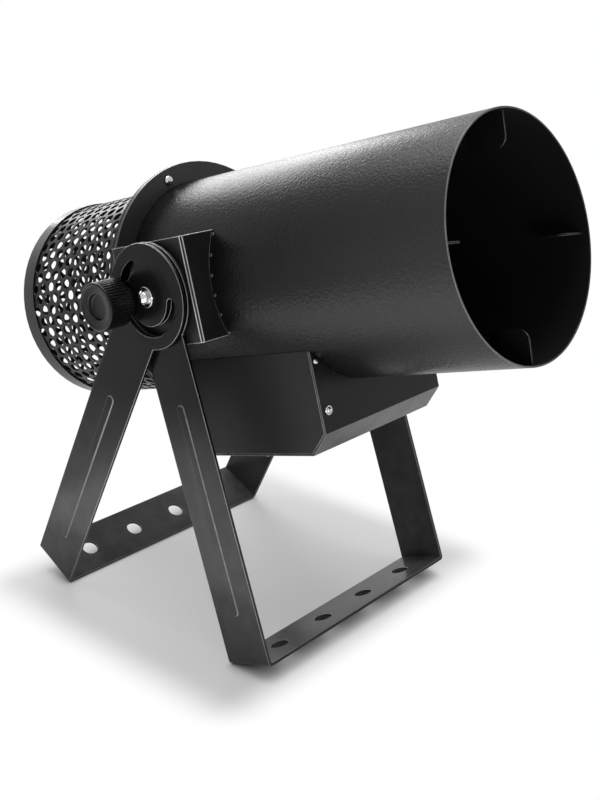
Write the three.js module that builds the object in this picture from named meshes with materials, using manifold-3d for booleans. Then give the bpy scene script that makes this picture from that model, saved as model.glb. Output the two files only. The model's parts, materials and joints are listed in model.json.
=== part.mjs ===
// A confetti blower on a scissor stand, in millimetres, +Z up, muzzle towards -Y.
// The origin is on the floor, under the middle of the box that holds the whole machine.
// The blower swings on a pivot axis along X. Its own pieces are written in its own frame, in which
// the pivot is the origin and the barrel lies level, and one group then tilts them all together.
import * as THREE from "three";
import { mergeVertices } from "three/addons/utils/BufferGeometryUtils.js";
import Module from "manifold-3d";

const wasm = await Module();
wasm.setup();

// How the machine stands
const tiltDeg = 15.4; // muzzle above level
const frontLegLength = 315.5; // pivot to the underside of the front foot bar
const frontLegDeg = 19.4625; // front leg from upright
const rearLegDeg = 27.6; // rear leg from upright, its length follows from the pivot's height

// Clearances
const seatGap = 0.3; // between pieces that seat on each other
const cutOverrun = 2; // how far a cutting solid runs past what it cuts

// Yoke straps
const strapWidth = 50;
const strapThickness = 3;
const strapBend = 0.8; // inside radius where an arm turns into its foot bar
const headRadius = 44;
const yokeGap = 2; // room for a friction washer between two plates
const slotRadius = 29; // the clamp stud's circle round the pivot
const slotWidth = 8.8;
const slotHalfSweepDeg = 116;
const footHoleRadius = 7.75;
const footHolePitch = 56;
const footHoleCount = 4;
const beadWidth = 8;
const beadHeight = 1;
const rearBeadStart = 110; // pivot to the upper end of the pressed bead
const frontBeadStart = 92;
const rearBeadFootGap = 42; // the bead's lower end to the underside of the foot bar
const frontBeadFootGap = 43.5;

// Barrel and its flange
const barrelRadius = 95;
const barrelWall = 1.5;
const muzzleReach = 280; // pivot to the muzzle, along the barrel
const flangeReach = 60; // pivot back to the rear face of the barrel's flange
const axisDrop = 6; // the barrel's axis runs this far below the pivot
const flangeLip = 18; // the flange stands this far out from the barrel
const flangeThickness = 3;
const flangeBoltRise = 8; // barrel's outside to a flange screw's axis
const flangeBoltCount = 6;
const flangeBoltTurnDeg = 16.4; // first screw, to the left of the top

// Muzzle fins
const finCount = 4;
const finTurnDeg = 6.6; // the top fin leans this far to the right
const finThickness = 1.5;
const finHeight = 27;
const finDepth = 35;
const finSetBack = 5.6; // from the muzzle's lip
const finCorner = 9;

// Intake cage
const cageStep = 0.5; // the cage is this much smaller in radius than the barrel
const cageWall = 1.2;
const cageReach = 224; // pivot back to the outer face of the cage's end ring
const endRingDepth = 16;
const endRingLip = 9;
const endRingWall = 1.2;
const cageOpeningsRound = 12;
const cageOpeningsAlong = 2;
const cageOpeningRoundShare = 0.72; // of the pitch round the wall
const cageOpeningAlongShare = 0.72; // of the pitch along the wall
const cageOpeningSagShare = 0.2; // of an opening's width, more than the wall's curve drops there
const cageFrontBand = 9; // plain band behind the motor plate
const cageRearBand = 16; // plain band inside the end ring

// Motor plate, motor and impeller
const motorPlateThickness = 3;
const motorPlateRim = 7; // width of its rim inside the cage wall
const motorPlateHub = 39;
const motorPlateArms = 4;
const motorPlateArmWidth = 14;
const motorRadius = 32;
const motorLength = 54;
const motorShoulderShare = 0.15; // of its radius, the bevel on its rear end
const shaftRadius = 4;
const shaftClearance = 0.3;
const shaftIntoMotor = 14;
const hubRadius = 29;
const hubLength = 30;
const hubNoseShare = 0.2; // of the hub's radius, the bevel on its nose
const hubToPlate = 8;
const bladeCount = 7;
const bladeTipClearance = 3; // blade tip to the barrel's bore
const bladeChord = 34;
const bladeThickness = 2.2;
const bladePitchDeg = 38;
const hubPlugDepth = 4; // solid nose of the hub in front of the shaft's end

// Loading grid that keeps the confetti off the impeller
const gridReach = 12; // ahead of the pivot
const gridThickness = 2;
const gridBar = 3.5;
const gridRings = 3; // the rim is the outermost
const gridSpokes = 6;

// Side brackets
const bracketProud = 21.5; // barrel's outside to the bracket's face
const bracketLength = 90;
const bracketHeight = 86;
const bracketThickness = 3;
const bracketFold = 1.8; // the folded corners' flat, along each face

// Pivot bolts, washers, clamp knobs
const pivotBoltRadius = 5;
const pivotHoleClearance = 0.3;
const pivotHeadRadius = 8.7;
const pivotHeadHeight = 6;
const domeSkirtShare = 0.25; // of a domed head's height, the straight part under the dome
const pivotNutRadius = 8.5;
const pivotNutHeight = 6;
const washerThickness = 1.5;
const washerRadius = 14;
const studRadius = 4;
const studNutRadius = 6.5;
const studNutHeight = 6;
const clampWasherRadius = 12;
const clampWasherThickness = 1.6;
const knobRadius = 20.2;
const knobLength = 27.2;
const knobSkirt = 4; // narrow neck next to the washer
const knobNeckRadius = 15;
const knobDishOuter = 12.5;
const knobDishInner = 6.5;
const knobDishDepth = 3;
const knobEdge = 1.6;
const studIntoKnob = 16;

// Control housing under the barrel
const housingHalf = 76;
const housingSheet = 1.5;
const housingFront = 118; // pivot to the front plate's face, along the barrel
const housingBack = 52; // pivot back to the rear panel's face
const housingDepth = 47.3; // barrel's underside to the housing's underside
const chamferRise = 17.3;
const chamferRun = 18;
const tabSize = 14; // square tab folded in from a side plate behind each screw
const screwInset = 8; // side plate's face to a screw's axis
const frontScrewUp = 35.3; // housing's underside up to a front screw
const bottomScrewAhead = 40;

// Electrical pieces
const socketFlangeWidth = 26;
const socketFlangeHeight = 30;
const socketFlangeThickness = 2;
const socketBodyRadius = 11.5;
const socketBodyDepth = 20;
const socketBoreRadius = 9.6;
const socketBoreDepth = 14;
const socketInset = 18; // side plate's face to the input socket's axis
const socketPitch = 32;
const socketUp = 17.3; // housing's underside up to the sockets' axes
const inletWidth = 48;
const inletHeight = 26;
const inletThickness = 2.5;
const inletBodyWidth = 27.4;
const inletBodyHeight = 20;
const inletBodyDepth = 22;
const inletBoreWidth = 24;
const inletBoreHeight = 16.4;
const inletBoreDepth = 15;
const inletInset = 36; // side plate's face to the inlet's middle
const inletUp = 15.5;
const boardLength = 96;
const boardHeight = 38;
const boardThickness = 1.6;
const boardAhead = 36; // pivot to the board's middle, along the barrel
const boardUp = 31.3; // housing's underside up to the board's middle
const boardStandOff = 9; // side plate to the board
const spacerCount = 4;
const spacerRadius = 3;
const spacerInset = 5;
const displayWidth = 34;
const displayHeight = 14;
const displayThickness = 3;
const displayProud = 0.4;
const displayAhead = 20;
const buttonCount = 4;
const buttonRadius = 3.5;
const buttonProud = 1.6;
const buttonTravel = 1;
const buttonPitch = 11;
const buttonFirstAhead = 46;
const buttonClearance = 0.35;
const switchHeight = 3;
const switchWidth = 6;
const supplyLength = 88;
const supplyWidth = 62;
const supplyHeight = 22;
const supplyAhead = 34;
const supplyInset = 54; // side plate's face to the supply's middle

// Screws
const housingScrewShank = 2;
const housingScrewLength = 5;
const housingScrewHead = 3.6;
const housingScrewHeadHeight = 2.2;
const flangeScrewShank = 2.5;
const flangeScrewTail = 4; // shank showing behind the motor plate
const flangeScrewHead = 4.4;
const flangeScrewHeadHeight = 2.8;

// Facet counts
const bigRoundSteps = 64;
const cageSteps = 48;
const midRoundSteps = 36;
const slotSteps = 14; // for each arc of a slot
const smallRoundSteps = 16;
const tinyRoundSteps = 10;
const hexSteps = 6;
const cornerSteps = 4;
const domeSteps = 3;
const weldDistance = 1e-4; // vertices closer than this are one

// Places worked out from the sizes above
const rad = THREE.MathUtils.degToRad;
const bracketHalf = barrelRadius + bracketProud; // middle of the machine to the bracket's face
const frontYokeHalf = bracketHalf + yokeGap + strapThickness;
const rearYokeHalf = frontYokeHalf + yokeGap + strapThickness;
const pivotHeight =
  frontLegLength * Math.cos(rad(frontLegDeg)) + (strapWidth / 2) * Math.sin(rad(frontLegDeg));
const rearLegLength =
  (pivotHeight - (strapWidth / 2) * Math.sin(rad(rearLegDeg))) / Math.cos(rad(rearLegDeg));
const boreRadius = barrelRadius - barrelWall;
const flangeRadius = barrelRadius + flangeLip;
const flangeBoltCircle = barrelRadius + flangeBoltRise;
const cageRadius = barrelRadius - cageStep;
const bladeTipRadius = boreRadius - bladeTipClearance;
const bracketTop = bracketHeight / 2 + axisDrop; // above the barrel's axis
const bracketInside = Math.sqrt((barrelRadius + seatGap) ** 2 - bracketTop ** 2) - cutOverrun;
const housingBelow = axisDrop + barrelRadius + housingDepth; // pivot down to the underside
const chamferBelow = housingBelow - chamferRise;
const frontScrewBelow = housingBelow - frontScrewUp;
const socketBelow = housingBelow - socketUp;
const inletBelow = housingBelow - inletUp;
const boardBelow = housingBelow - boardUp;
const socketInSide = socketInset - housingHalf;
const socketOutSide = socketInSide + socketPitch;
const inletSide = housingHalf - inletInset;
const supplySide = supplyInset - housingHalf;
const tiltSin = Math.sin(rad(tiltDeg));
const tiltCos = Math.cos(rad(tiltDeg));
const frontReachY = -muzzleReach * tiltCos - (barrelRadius + axisDrop) * tiltSin;
const endRingRadius = cageRadius + seatGap + endRingWall;
const rearReachY = cageReach * tiltCos + (endRingRadius - axisDrop) * tiltSin;
const pivotY = -(frontReachY + rearReachY) / 2;
const bendShare = Math.tan(Math.PI / 8); // shift of a 45 degree bend for each unit of inset

// Materials
const paint = (color, roughness, metalness) =>
  new THREE.MeshStandardMaterial({ color, roughness, metalness });
const blackTexture = paint(0x1b1b1c, 0.55, 0.25);
const blackSatin = paint(0x242426, 0.45, 0.3);
const blackPlastic = paint(0x161617, 0.5, 0);
const chrome = paint(0xd8d9db, 0.15, 1);
const zinc = paint(0xa9acb0, 0.35, 1);
const darkMetal = paint(0x3a3b3e, 0.45, 0.8);
const greenBoard = paint(0x1f4a2c, 0.6, 0);
const displayGlass = paint(0x101a28, 0.12, 0);

// A closed three.js geometry as a solid, its faces turned outwards.
function solid(geometry) {
  const bare = geometry.index ? geometry.toNonIndexed() : geometry.clone();
  bare.deleteAttribute("normal");
  bare.deleteAttribute("uv");
  const merged = mergeVertices(bare, weldDistance);
  const position = merged.attributes.position;
  const faces = new Uint32Array(merged.index.array);
  if (signedVolume(position, faces) < 0) {
    for (let i = 0; i < faces.length; i += 3) {
      [faces[i + 1], faces[i + 2]] = [faces[i + 2], faces[i + 1]];
    }
  }
  return new wasm.Manifold(
    new wasm.Mesh({
      numProp: 3,
      vertProperties: new Float32Array(position.array),
      triVerts: faces,
    }),
  );
}

function signedVolume(position, faces) {
  const a = new THREE.Vector3();
  const b = new THREE.Vector3();
  const c = new THREE.Vector3();
  let sum = 0;
  for (let i = 0; i < faces.length; i += 3) {
    a.fromBufferAttribute(position, faces[i]);
    b.fromBufferAttribute(position, faces[i + 1]);
    c.fromBufferAttribute(position, faces[i + 2]);
    sum += a.dot(b.cross(c));
  }
  return sum / 6;
}

// A solid back as a geometry with flat-shaded faces.
function geometryOf(body) {
  const mesh = body.getMesh();
  const points = new Float32Array(mesh.numVert * 3);
  for (let i = 0; i < mesh.numVert; i += 1) {
    points.set(mesh.vertProperties.subarray(i * mesh.numProp, i * mesh.numProp + 3), i * 3);
  }
  const geometry = new THREE.BufferGeometry();
  geometry.setAttribute("position", new THREE.BufferAttribute(points, 3));
  geometry.setIndex(new THREE.BufferAttribute(new Uint32Array(mesh.triVerts), 1));
  const flat = geometry.toNonIndexed();
  flat.computeVertexNormals();
  return flat;
}

function piece(name, body, material) {
  const mesh = new THREE.Mesh(geometryOf(body), material);
  mesh.name = name;
  return mesh;
}

const joined = (bodies) => bodies.reduce((all, body) => all.add(body));
const cut = (body, cutters) => cutters.reduce((left, cutter) => left.subtract(cutter), body);

function extruded(shape, depth, curveSegments = tinyRoundSteps) {
  return new THREE.ExtrudeGeometry(shape, { depth, bevelEnabled: false, curveSegments });
}

// A shape drawn in (Y, Z), with its thickness along X from x0 to x1.
function slabAcross(shape, x0, x1, curveSegments) {
  const basis = new THREE.Matrix4().makeBasis(
    new THREE.Vector3(0, 1, 0),
    new THREE.Vector3(0, 0, 1),
    new THREE.Vector3(1, 0, 0),
  );
  return extruded(shape, x1 - x0, curveSegments).applyMatrix4(basis).translate(x0, 0, 0);
}

// A shape drawn in (X, Z), with its thickness along the barrel from one reach to another.
function slabAlong(shape, backReach, frontReach, curveSegments) {
  const basis = new THREE.Matrix4().makeBasis(
    new THREE.Vector3(1, 0, 0),
    new THREE.Vector3(0, 0, 1),
    new THREE.Vector3(0, -1, 0),
  );
  return extruded(shape, frontReach - backReach, curveSegments)
    .applyMatrix4(basis)
    .translate(0, -backReach, 0);
}

// A profile of [radius, reach] turned about the barrel's axis.
function turnedAlong(profile, steps) {
  const points = profile.map(([radius, reach]) => new THREE.Vector2(radius, reach));
  return new THREE.LatheGeometry(points, steps).rotateX(Math.PI).translate(0, 0, -axisDrop);
}

// A profile of [radius, distance outwards] turned about an axis along X, on side -1 or 1.
function turnedAcross(profile, side, steps) {
  const points = profile.map(([radius, out]) => new THREE.Vector2(radius, out));
  return new THREE.LatheGeometry(points, steps).rotateZ((-side * Math.PI) / 2);
}

const tubeProfile = (inner, outer, from, to) => [
  [inner, from],
  [outer, from],
  [outer, to],
  [inner, to],
  [inner, from],
];
const rodProfile = (radius, from, to) => [
  [0, from],
  [radius, from],
  [radius, to],
  [0, to],
];

// The outline of a domed head from its rim to its crown, seated at the given height.
function dome(radius, seat, height) {
  const points = [[radius, seat]];
  for (let i = 0; i < domeSteps; i += 1) {
    const turn = ((i / domeSteps) * Math.PI) / 2;
    const rise = domeSkirtShare + (1 - domeSkirtShare) * Math.sin(turn);
    points.push([radius * Math.cos(turn), seat + height * rise]);
  }
  points.push([0, seat + height]);
  return points;
}

function circle(x, y, radius) {
  const shape = new THREE.Shape();
  shape.absarc(x, y, radius, 0, 2 * Math.PI, false);
  return shape;
}

function rectangle(x0, y0, x1, y1) {
  const shape = new THREE.Shape();
  shape.moveTo(x0, y0);
  shape.lineTo(x1, y0);
  shape.lineTo(x1, y1);
  shape.lineTo(x0, y1);
  shape.closePath();
  return shape;
}

// The space that the barrel takes, with a seat gap round it.
function barrelSpace(from, to) {
  return solid(turnedAlong(rodProfile(barrelRadius + seatGap, from, to), bigRoundSteps));
}

// Yokes

// One strap bent into a U: arm, foot bar, arm, with its outer faces at half and legLength.
function strapProfile(half, legLength) {
  const inner = half - strapThickness;
  const outerBend = strapBend + strapThickness;
  const shape = new THREE.Shape();
  shape.moveTo(-half, 0);
  shape.lineTo(-half, -legLength + outerBend);
  shape.absarc(-half + outerBend, -legLength + outerBend, outerBend, Math.PI, Math.PI * 1.5, false);
  shape.lineTo(half - outerBend, -legLength);
  shape.absarc(half - outerBend, -legLength + outerBend, outerBend, -Math.PI / 2, 0, false);
  shape.lineTo(half, 0);
  shape.lineTo(inner, 0);
  shape.lineTo(inner, -legLength + outerBend);
  shape.absarc(inner - strapBend, -legLength + outerBend, strapBend, 0, -Math.PI / 2, true);
  shape.lineTo(-inner + strapBend, -legLength + strapThickness);
  shape.absarc(-inner + strapBend, -legLength + outerBend, strapBend, -Math.PI / 2, -Math.PI, true);
  shape.lineTo(-inner, 0);
  shape.closePath();
  return shape;
}

// The C-shaped slot round the pivot, symmetrical about the leg's direction.
function slotShape() {
  const middle = -Math.PI / 2;
  const from = middle - rad(slotHalfSweepDeg);
  const to = middle + rad(slotHalfSweepDeg);
  const half = slotWidth / 2;
  const shape = new THREE.Shape();
  shape.absarc(0, 0, slotRadius + half, from, to, false);
  shape.absarc(slotRadius * Math.cos(to), slotRadius * Math.sin(to), half, to, to + Math.PI, false);
  shape.absarc(0, 0, slotRadius - half, to, from, true);
  shape.absarc(
    slotRadius * Math.cos(from),
    slotRadius * Math.sin(from),
    half,
    from + Math.PI,
    from + 2 * Math.PI,
    false,
  );
  return shape;
}

// A pressed bead down the outer face of an arm.
function bead(half, side, start, end) {
  const shape = new THREE.Shape();
  const round = beadWidth / 2;
  shape.absarc(0, -start - round, round, 0, Math.PI, false);
  shape.absarc(0, -end + round, round, Math.PI, 2 * Math.PI, false);
  const inside = half - strapThickness / 2;
  const outside = half + beadHeight;
  const slab =
    side > 0
      ? slabAcross(shape, inside, outside, cornerSteps)
      : slabAcross(shape, -outside, -inside, cornerSteps);
  return solid(slab);
}

function yoke(half, legLength, beadStart, beadFootGap) {
  const strap = solid(
    extruded(strapProfile(half, legLength), strapWidth, cornerSteps)
      .rotateX(Math.PI / 2)
      .translate(0, strapWidth / 2, 0),
  );
  const bodies = [strap];
  const cutters = [];
  for (const side of [-1, 1]) {
    const faces = [side * half, side * (half - strapThickness)].sort((a, b) => a - b);
    bodies.push(solid(slabAcross(circle(0, 0, headRadius), faces[0], faces[1], midRoundSteps)));
    bodies.push(bead(half, side, beadStart, legLength - beadFootGap));
    const from = faces[0] - cutOverrun;
    const to = faces[1] + cutOverrun;
    cutters.push(solid(slabAcross(slotShape(), from, to, slotSteps)));
    const hole = circle(0, 0, pivotBoltRadius + pivotHoleClearance);
    cutters.push(solid(slabAcross(hole, from, to, smallRoundSteps)));
  }
  for (let i = 0; i < footHoleCount; i += 1) {
    const x = (i - (footHoleCount - 1) / 2) * footHolePitch;
    const hole = new THREE.CylinderGeometry(
      footHoleRadius,
      footHoleRadius,
      strapThickness + 2 * cutOverrun,
      smallRoundSteps,
    );
    cutters.push(
      solid(hole.rotateX(Math.PI / 2).translate(x, 0, -legLength + strapThickness / 2)),
    );
  }
  return cut(joined(bodies), cutters);
}

// Barrel, flange and muzzle fins

function barrelTube() {
  const profile = tubeProfile(boreRadius, barrelRadius, -flangeReach, muzzleReach);
  return solid(turnedAlong(profile, bigRoundSteps));
}

// Where the screws stand on the flange's bolt circle, as [x, z].
function flangeBoltPlaces() {
  return Array.from({ length: flangeBoltCount }, (_, i) => {
    const turn = Math.PI / 2 + rad(flangeBoltTurnDeg) + (i * 2 * Math.PI) / flangeBoltCount;
    return [flangeBoltCircle * Math.cos(turn), flangeBoltCircle * Math.sin(turn) - axisDrop];
  });
}

function rodAlong(x, z, radius, from, to, steps) {
  return solid(slabAlong(circle(x, z, radius), from, to, steps));
}

function withFlangeHoles(body, from, to) {
  return cut(
    body,
    flangeBoltPlaces().map(([x, z]) =>
      rodAlong(x, z, flangeScrewShank + seatGap, from - cutOverrun, to + cutOverrun, tinyRoundSteps),
    ),
  );
}

function barrelFlange() {
  const from = -flangeReach;
  const to = from + flangeThickness;
  const ring = tubeProfile(barrelRadius + seatGap, flangeRadius, from, to);
  return withFlangeHoles(solid(turnedAlong(ring, bigRoundSteps)), from, to);
}

function muzzleFin(index) {
  const front = muzzleReach - finSetBack;
  const back = front - finDepth;
  const root = boreRadius - seatGap;
  const tip = root - finHeight;
  const shape = new THREE.Shape();
  shape.moveTo(-back, root);
  shape.lineTo(-front, root);
  shape.lineTo(-front, tip + finCorner);
  shape.absarc(-front + finCorner, tip + finCorner, finCorner, Math.PI, Math.PI * 1.5, false);
  shape.lineTo(-back, tip);
  shape.closePath();
  const turn = (index * 2 * Math.PI) / finCount + rad(finTurnDeg);
  const fin = slabAcross(shape, -finThickness / 2, finThickness / 2, cornerSteps);
  return solid(fin.rotateY(turn).translate(0, 0, -axisDrop));
}

// Intake cage

const motorPlateBack = -flangeReach - seatGap - motorPlateThickness;
const cageFront = motorPlateBack - seatGap;

// The wall's openings stand in a plain grid of fewer and larger holes than the real sheet has.
function cageSheet() {
  const rear = -cageReach + endRingWall + seatGap;
  const profile = tubeProfile(cageRadius - cageWall, cageRadius, rear, cageFront);
  const first = rear + cageRearBand;
  const pitch = (cageFront - cageFrontBand - first) / cageOpeningsAlong;
  const length = pitch * cageOpeningAlongShare;
  const width = ((2 * Math.PI * cageRadius) / cageOpeningsRound) * cageOpeningRoundShare;
  const depth = cageWall + 2 * cutOverrun + width * cageOpeningSagShare;
  const cutters = [];
  for (let i = 0; i < cageOpeningsRound; i += 1) {
    for (let j = 0; j < cageOpeningsAlong; j += 1) {
      const opening = new THREE.BoxGeometry(width, length, depth)
        .translate(0, -(first + (j + 0.5) * pitch), cageRadius + cutOverrun - depth / 2)
        .rotateY(((i + 0.5) * 2 * Math.PI) / cageOpeningsRound)
        .translate(0, 0, -axisDrop);
      cutters.push(solid(opening));
    }
  }
  return cut(solid(turnedAlong(profile, cageSteps)), cutters);
}

function cageEndRing() {
  const inner = endRingRadius - endRingWall;
  const front = -cageReach + endRingDepth;
  const profile = [
    [inner, -cageReach + endRingWall],
    [inner, front],
    [endRingRadius, front],
    [endRingRadius, -cageReach],
    [endRingRadius - endRingLip, -cageReach],
    [endRingRadius - endRingLip, -cageReach + endRingWall],
    [inner, -cageReach + endRingWall],
  ];
  return solid(turnedAlong(profile, bigRoundSteps));
}

function cageEndDisc() {
  const from = -cageReach + endRingWall + seatGap;
  const radius = cageRadius - cageWall - seatGap;
  return solid(turnedAlong(rodProfile(radius, from, from + cageWall), bigRoundSteps));
}

// Motor and impeller

function motorPlate() {
  const back = motorPlateBack;
  const front = back + motorPlateThickness;
  const rim = tubeProfile(cageRadius - cageWall - motorPlateRim, flangeRadius, back, front);
  const hub = tubeProfile(shaftRadius + shaftClearance, motorPlateHub, back, front);
  const bodies = [
    solid(turnedAlong(rim, bigRoundSteps)),
    solid(turnedAlong(hub, midRoundSteps)),
  ];
  const armFrom = motorPlateHub - cutOverrun;
  const armTo = cageRadius - cageWall;
  for (let i = 0; i < motorPlateArms; i += 1) {
    const arm = rectangle(armFrom, -motorPlateArmWidth / 2, armTo, motorPlateArmWidth / 2);
    const turn = ((i + 0.5) * 2 * Math.PI) / motorPlateArms;
    bodies.push(solid(slabAlong(arm, back, front).rotateY(turn).translate(0, 0, -axisDrop)));
  }
  return withFlangeHoles(joined(bodies), back, front);
}

function motorBody() {
  const front = motorPlateBack - seatGap;
  const back = front - motorLength;
  const bore = shaftRadius + shaftClearance;
  const boreEnd = front - shaftIntoMotor - seatGap;
  const bevel = motorRadius * motorShoulderShare;
  const profile = [
    [0, back],
    [motorRadius - bevel, back],
    [motorRadius, back + bevel],
    [motorRadius, front],
    [bore, front],
    [bore, boreEnd],
    [0, boreEnd],
  ];
  return solid(turnedAlong(profile, midRoundSteps));
}

const hubBack = motorPlateBack + motorPlateThickness + hubToPlate;
const shaftFront = hubBack + hubLength - hubPlugDepth;

function motorShaft() {
  const from = motorPlateBack - seatGap - shaftIntoMotor;
  return solid(turnedAlong(rodProfile(shaftRadius, from, shaftFront - seatGap), smallRoundSteps));
}

function impeller() {
  const front = hubBack + hubLength;
  const bore = shaftRadius + seatGap;
  const bevel = hubRadius * hubNoseShare;
  const profile = [
    [bore, hubBack],
    [hubRadius, hubBack],
    [hubRadius, front - bevel],
    [hubRadius - bevel, front],
    [0, front],
    [0, shaftFront],
    [bore, shaftFront],
    [bore, hubBack],
  ];
  const bodies = [solid(turnedAlong(profile, midRoundSteps))];
  const bladeFrom = hubRadius - cutOverrun;
  const bladeSpan = bladeTipRadius - bladeFrom;
  const sweep = tipSweep();
  for (let i = 0; i < bladeCount; i += 1) {
    const blade = new THREE.BoxGeometry(bladeSpan, bladeChord, bladeThickness)
      .rotateX(rad(bladePitchDeg))
      .translate(bladeFrom + bladeSpan / 2, 0, 0)
      .rotateY((i * 2 * Math.PI) / bladeCount)
      .translate(0, -(hubBack + hubLength / 2), -axisDrop);
    bodies.push(solid(blade).intersect(sweep));
  }
  return joined(bodies);
}

// The cylinder that the blade tips sweep.
function tipSweep() {
  const from = hubBack - cutOverrun;
  const to = hubBack + hubLength + cutOverrun;
  return solid(turnedAlong(rodProfile(bladeTipRadius, from, to), bigRoundSteps));
}

function loadingGrid() {
  const to = gridReach + gridThickness;
  const outer = boreRadius - seatGap;
  const bodies = [];
  for (let i = 1; i <= gridRings; i += 1) {
    const radius = (outer * i) / gridRings;
    const ring = tubeProfile(radius - gridBar, radius, gridReach, to);
    bodies.push(solid(turnedAlong(ring, midRoundSteps)));
  }
  for (let i = 0; i < gridSpokes / 2; i += 1) {
    const reach = outer - gridBar / 2;
    const bar = rectangle(-reach, -gridBar / 2, reach, gridBar / 2);
    const turn = (i * 2 * Math.PI) / gridSpokes;
    bodies.push(solid(slabAlong(bar, gridReach, to).rotateY(turn).translate(0, 0, -axisDrop)));
  }
  return joined(bodies);
}

// Side brackets

function sideBracket(side) {
  const outer = bracketHalf;
  const inner = outer - bracketThickness;
  const half = bracketLength / 2;
  const shape = new THREE.Shape();
  shape.moveTo(bracketInside, -half);
  shape.lineTo(outer - bracketFold, -half);
  shape.lineTo(outer, -half + bracketFold);
  shape.lineTo(outer, half - bracketFold);
  shape.lineTo(outer - bracketFold, half);
  shape.lineTo(bracketInside, half);
  shape.lineTo(bracketInside, half - bracketThickness);
  shape.lineTo(inner, half - bracketThickness);
  shape.lineTo(inner, -half + bracketThickness);
  shape.lineTo(bracketInside, -half + bracketThickness);
  shape.closePath();
  const channel = extruded(shape, bracketHeight, cornerSteps).translate(0, 0, -bracketHeight / 2);
  if (side < 0) channel.rotateZ(Math.PI);
  const holes = [
    acrossRod(0, pivotBoltRadius + seatGap, side, inner - cutOverrun, outer + cutOverrun),
    acrossRod(slotRadius, studRadius + seatGap, side, inner - cutOverrun, outer + cutOverrun),
  ];
  return cut(solid(channel), [barrelSpace(-bracketLength, bracketLength), ...holes]);
}

// A rod along X whose axis is behind the pivot by the given amount, from one |x| to another.
function acrossRod(behind, radius, side, from, to, steps = smallRoundSteps) {
  return solid(turnedAcross(rodProfile(radius, from, to), side, steps).translate(0, behind, 0));
}

// Pivot bolts, washers and clamp knobs

function pivotBolt(side) {
  const face = rearYokeHalf + seatGap;
  const nutOuter = bracketHalf - bracketThickness - seatGap;
  const profile = [
    [0, nutOuter - pivotNutHeight],
    [pivotNutRadius, nutOuter - pivotNutHeight],
    [pivotNutRadius, nutOuter],
    [pivotBoltRadius, nutOuter],
    [pivotBoltRadius, face],
    ...dome(pivotHeadRadius, face, pivotHeadHeight),
  ];
  return solid(turnedAcross(profile, side, smallRoundSteps));
}

function pivotWasher(side, innerFace) {
  const from = innerFace + (yokeGap - washerThickness) / 2;
  const profile = tubeProfile(
    pivotBoltRadius + pivotHoleClearance,
    washerRadius,
    from,
    from + washerThickness,
  );
  return solid(turnedAcross(profile, side, smallRoundSteps));
}

const clampWasherFace = rearYokeHalf + seatGap;
const knobFace = clampWasherFace + clampWasherThickness + seatGap;

function clampWasher(side) {
  const profile = tubeProfile(
    studRadius + seatGap,
    clampWasherRadius,
    clampWasherFace,
    clampWasherFace + clampWasherThickness,
  );
  return solid(turnedAcross(profile, side, smallRoundSteps).translate(0, slotRadius, 0));
}

// The stud is screwed through the bracket's weld nut, out through both slots and into the knob.
function clampStud(side) {
  const nutOuter = bracketHalf - bracketThickness - seatGap;
  return acrossRod(slotRadius, studRadius, side, nutOuter - studNutHeight, knobFace + studIntoKnob);
}

// The hexagonal weld nut inside the bracket.
function clampNut(side) {
  const to = bracketHalf - bracketThickness - seatGap;
  const hexagon = rodProfile(studNutRadius, to - studNutHeight, to);
  const past = [to - studNutHeight - cutOverrun, to + cutOverrun];
  return cut(solid(turnedAcross(hexagon, side, hexSteps).translate(0, slotRadius, 0)), [
    acrossRod(slotRadius, studRadius + seatGap, side, ...past),
  ]);
}

function clampKnob(side) {
  const end = knobFace + knobLength;
  const bore = studRadius + seatGap;
  const boreEnd = knobFace + studIntoKnob + seatGap;
  const profile = [
    [bore, knobFace],
    [knobNeckRadius, knobFace],
    [knobNeckRadius, knobFace + knobSkirt],
    [knobRadius, knobFace + knobSkirt],
    [knobRadius, end - knobEdge],
    [knobRadius - knobEdge, end],
    [knobDishOuter, end],
    [knobDishInner, end - knobDishDepth],
    [0, end - knobDishDepth],
    [0, boreEnd],
    [bore, boreEnd],
    [bore, knobFace],
  ];
  return solid(turnedAcross(profile, side, midRoundSteps).translate(0, slotRadius, 0));
}

// Control housing

// The housing's outline in (Y, Z), the front and underside moved in by inset. Its top is left
// inside the barrel, which trims it.
function housingShape(inset, back) {
  const front = -housingFront + inset;
  const bottom = -housingBelow + inset;
  const shape = new THREE.Shape();
  shape.moveTo(back, bottom);
  shape.lineTo(back, -axisDrop);
  shape.lineTo(front, -axisDrop);
  shape.lineTo(front, -chamferBelow + inset * bendShare);
  shape.lineTo(-housingFront + chamferRun + inset * bendShare, bottom);
  shape.closePath();
  return shape;
}

// The folded sheet: front plate, chamfer and underside.
function housingWrap() {
  const past = housingHalf + cutOverrun;
  return cut(solid(slabAcross(housingShape(0, housingBack), -housingHalf, housingHalf)), [
    solid(slabAcross(housingShape(housingSheet, housingBack + cutOverrun), -past, past)),
    barrelSpace(-barrelRadius, muzzleReach),
    ...housingScrewPlaces().map((place) => screwHole(place)),
  ]);
}

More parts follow.
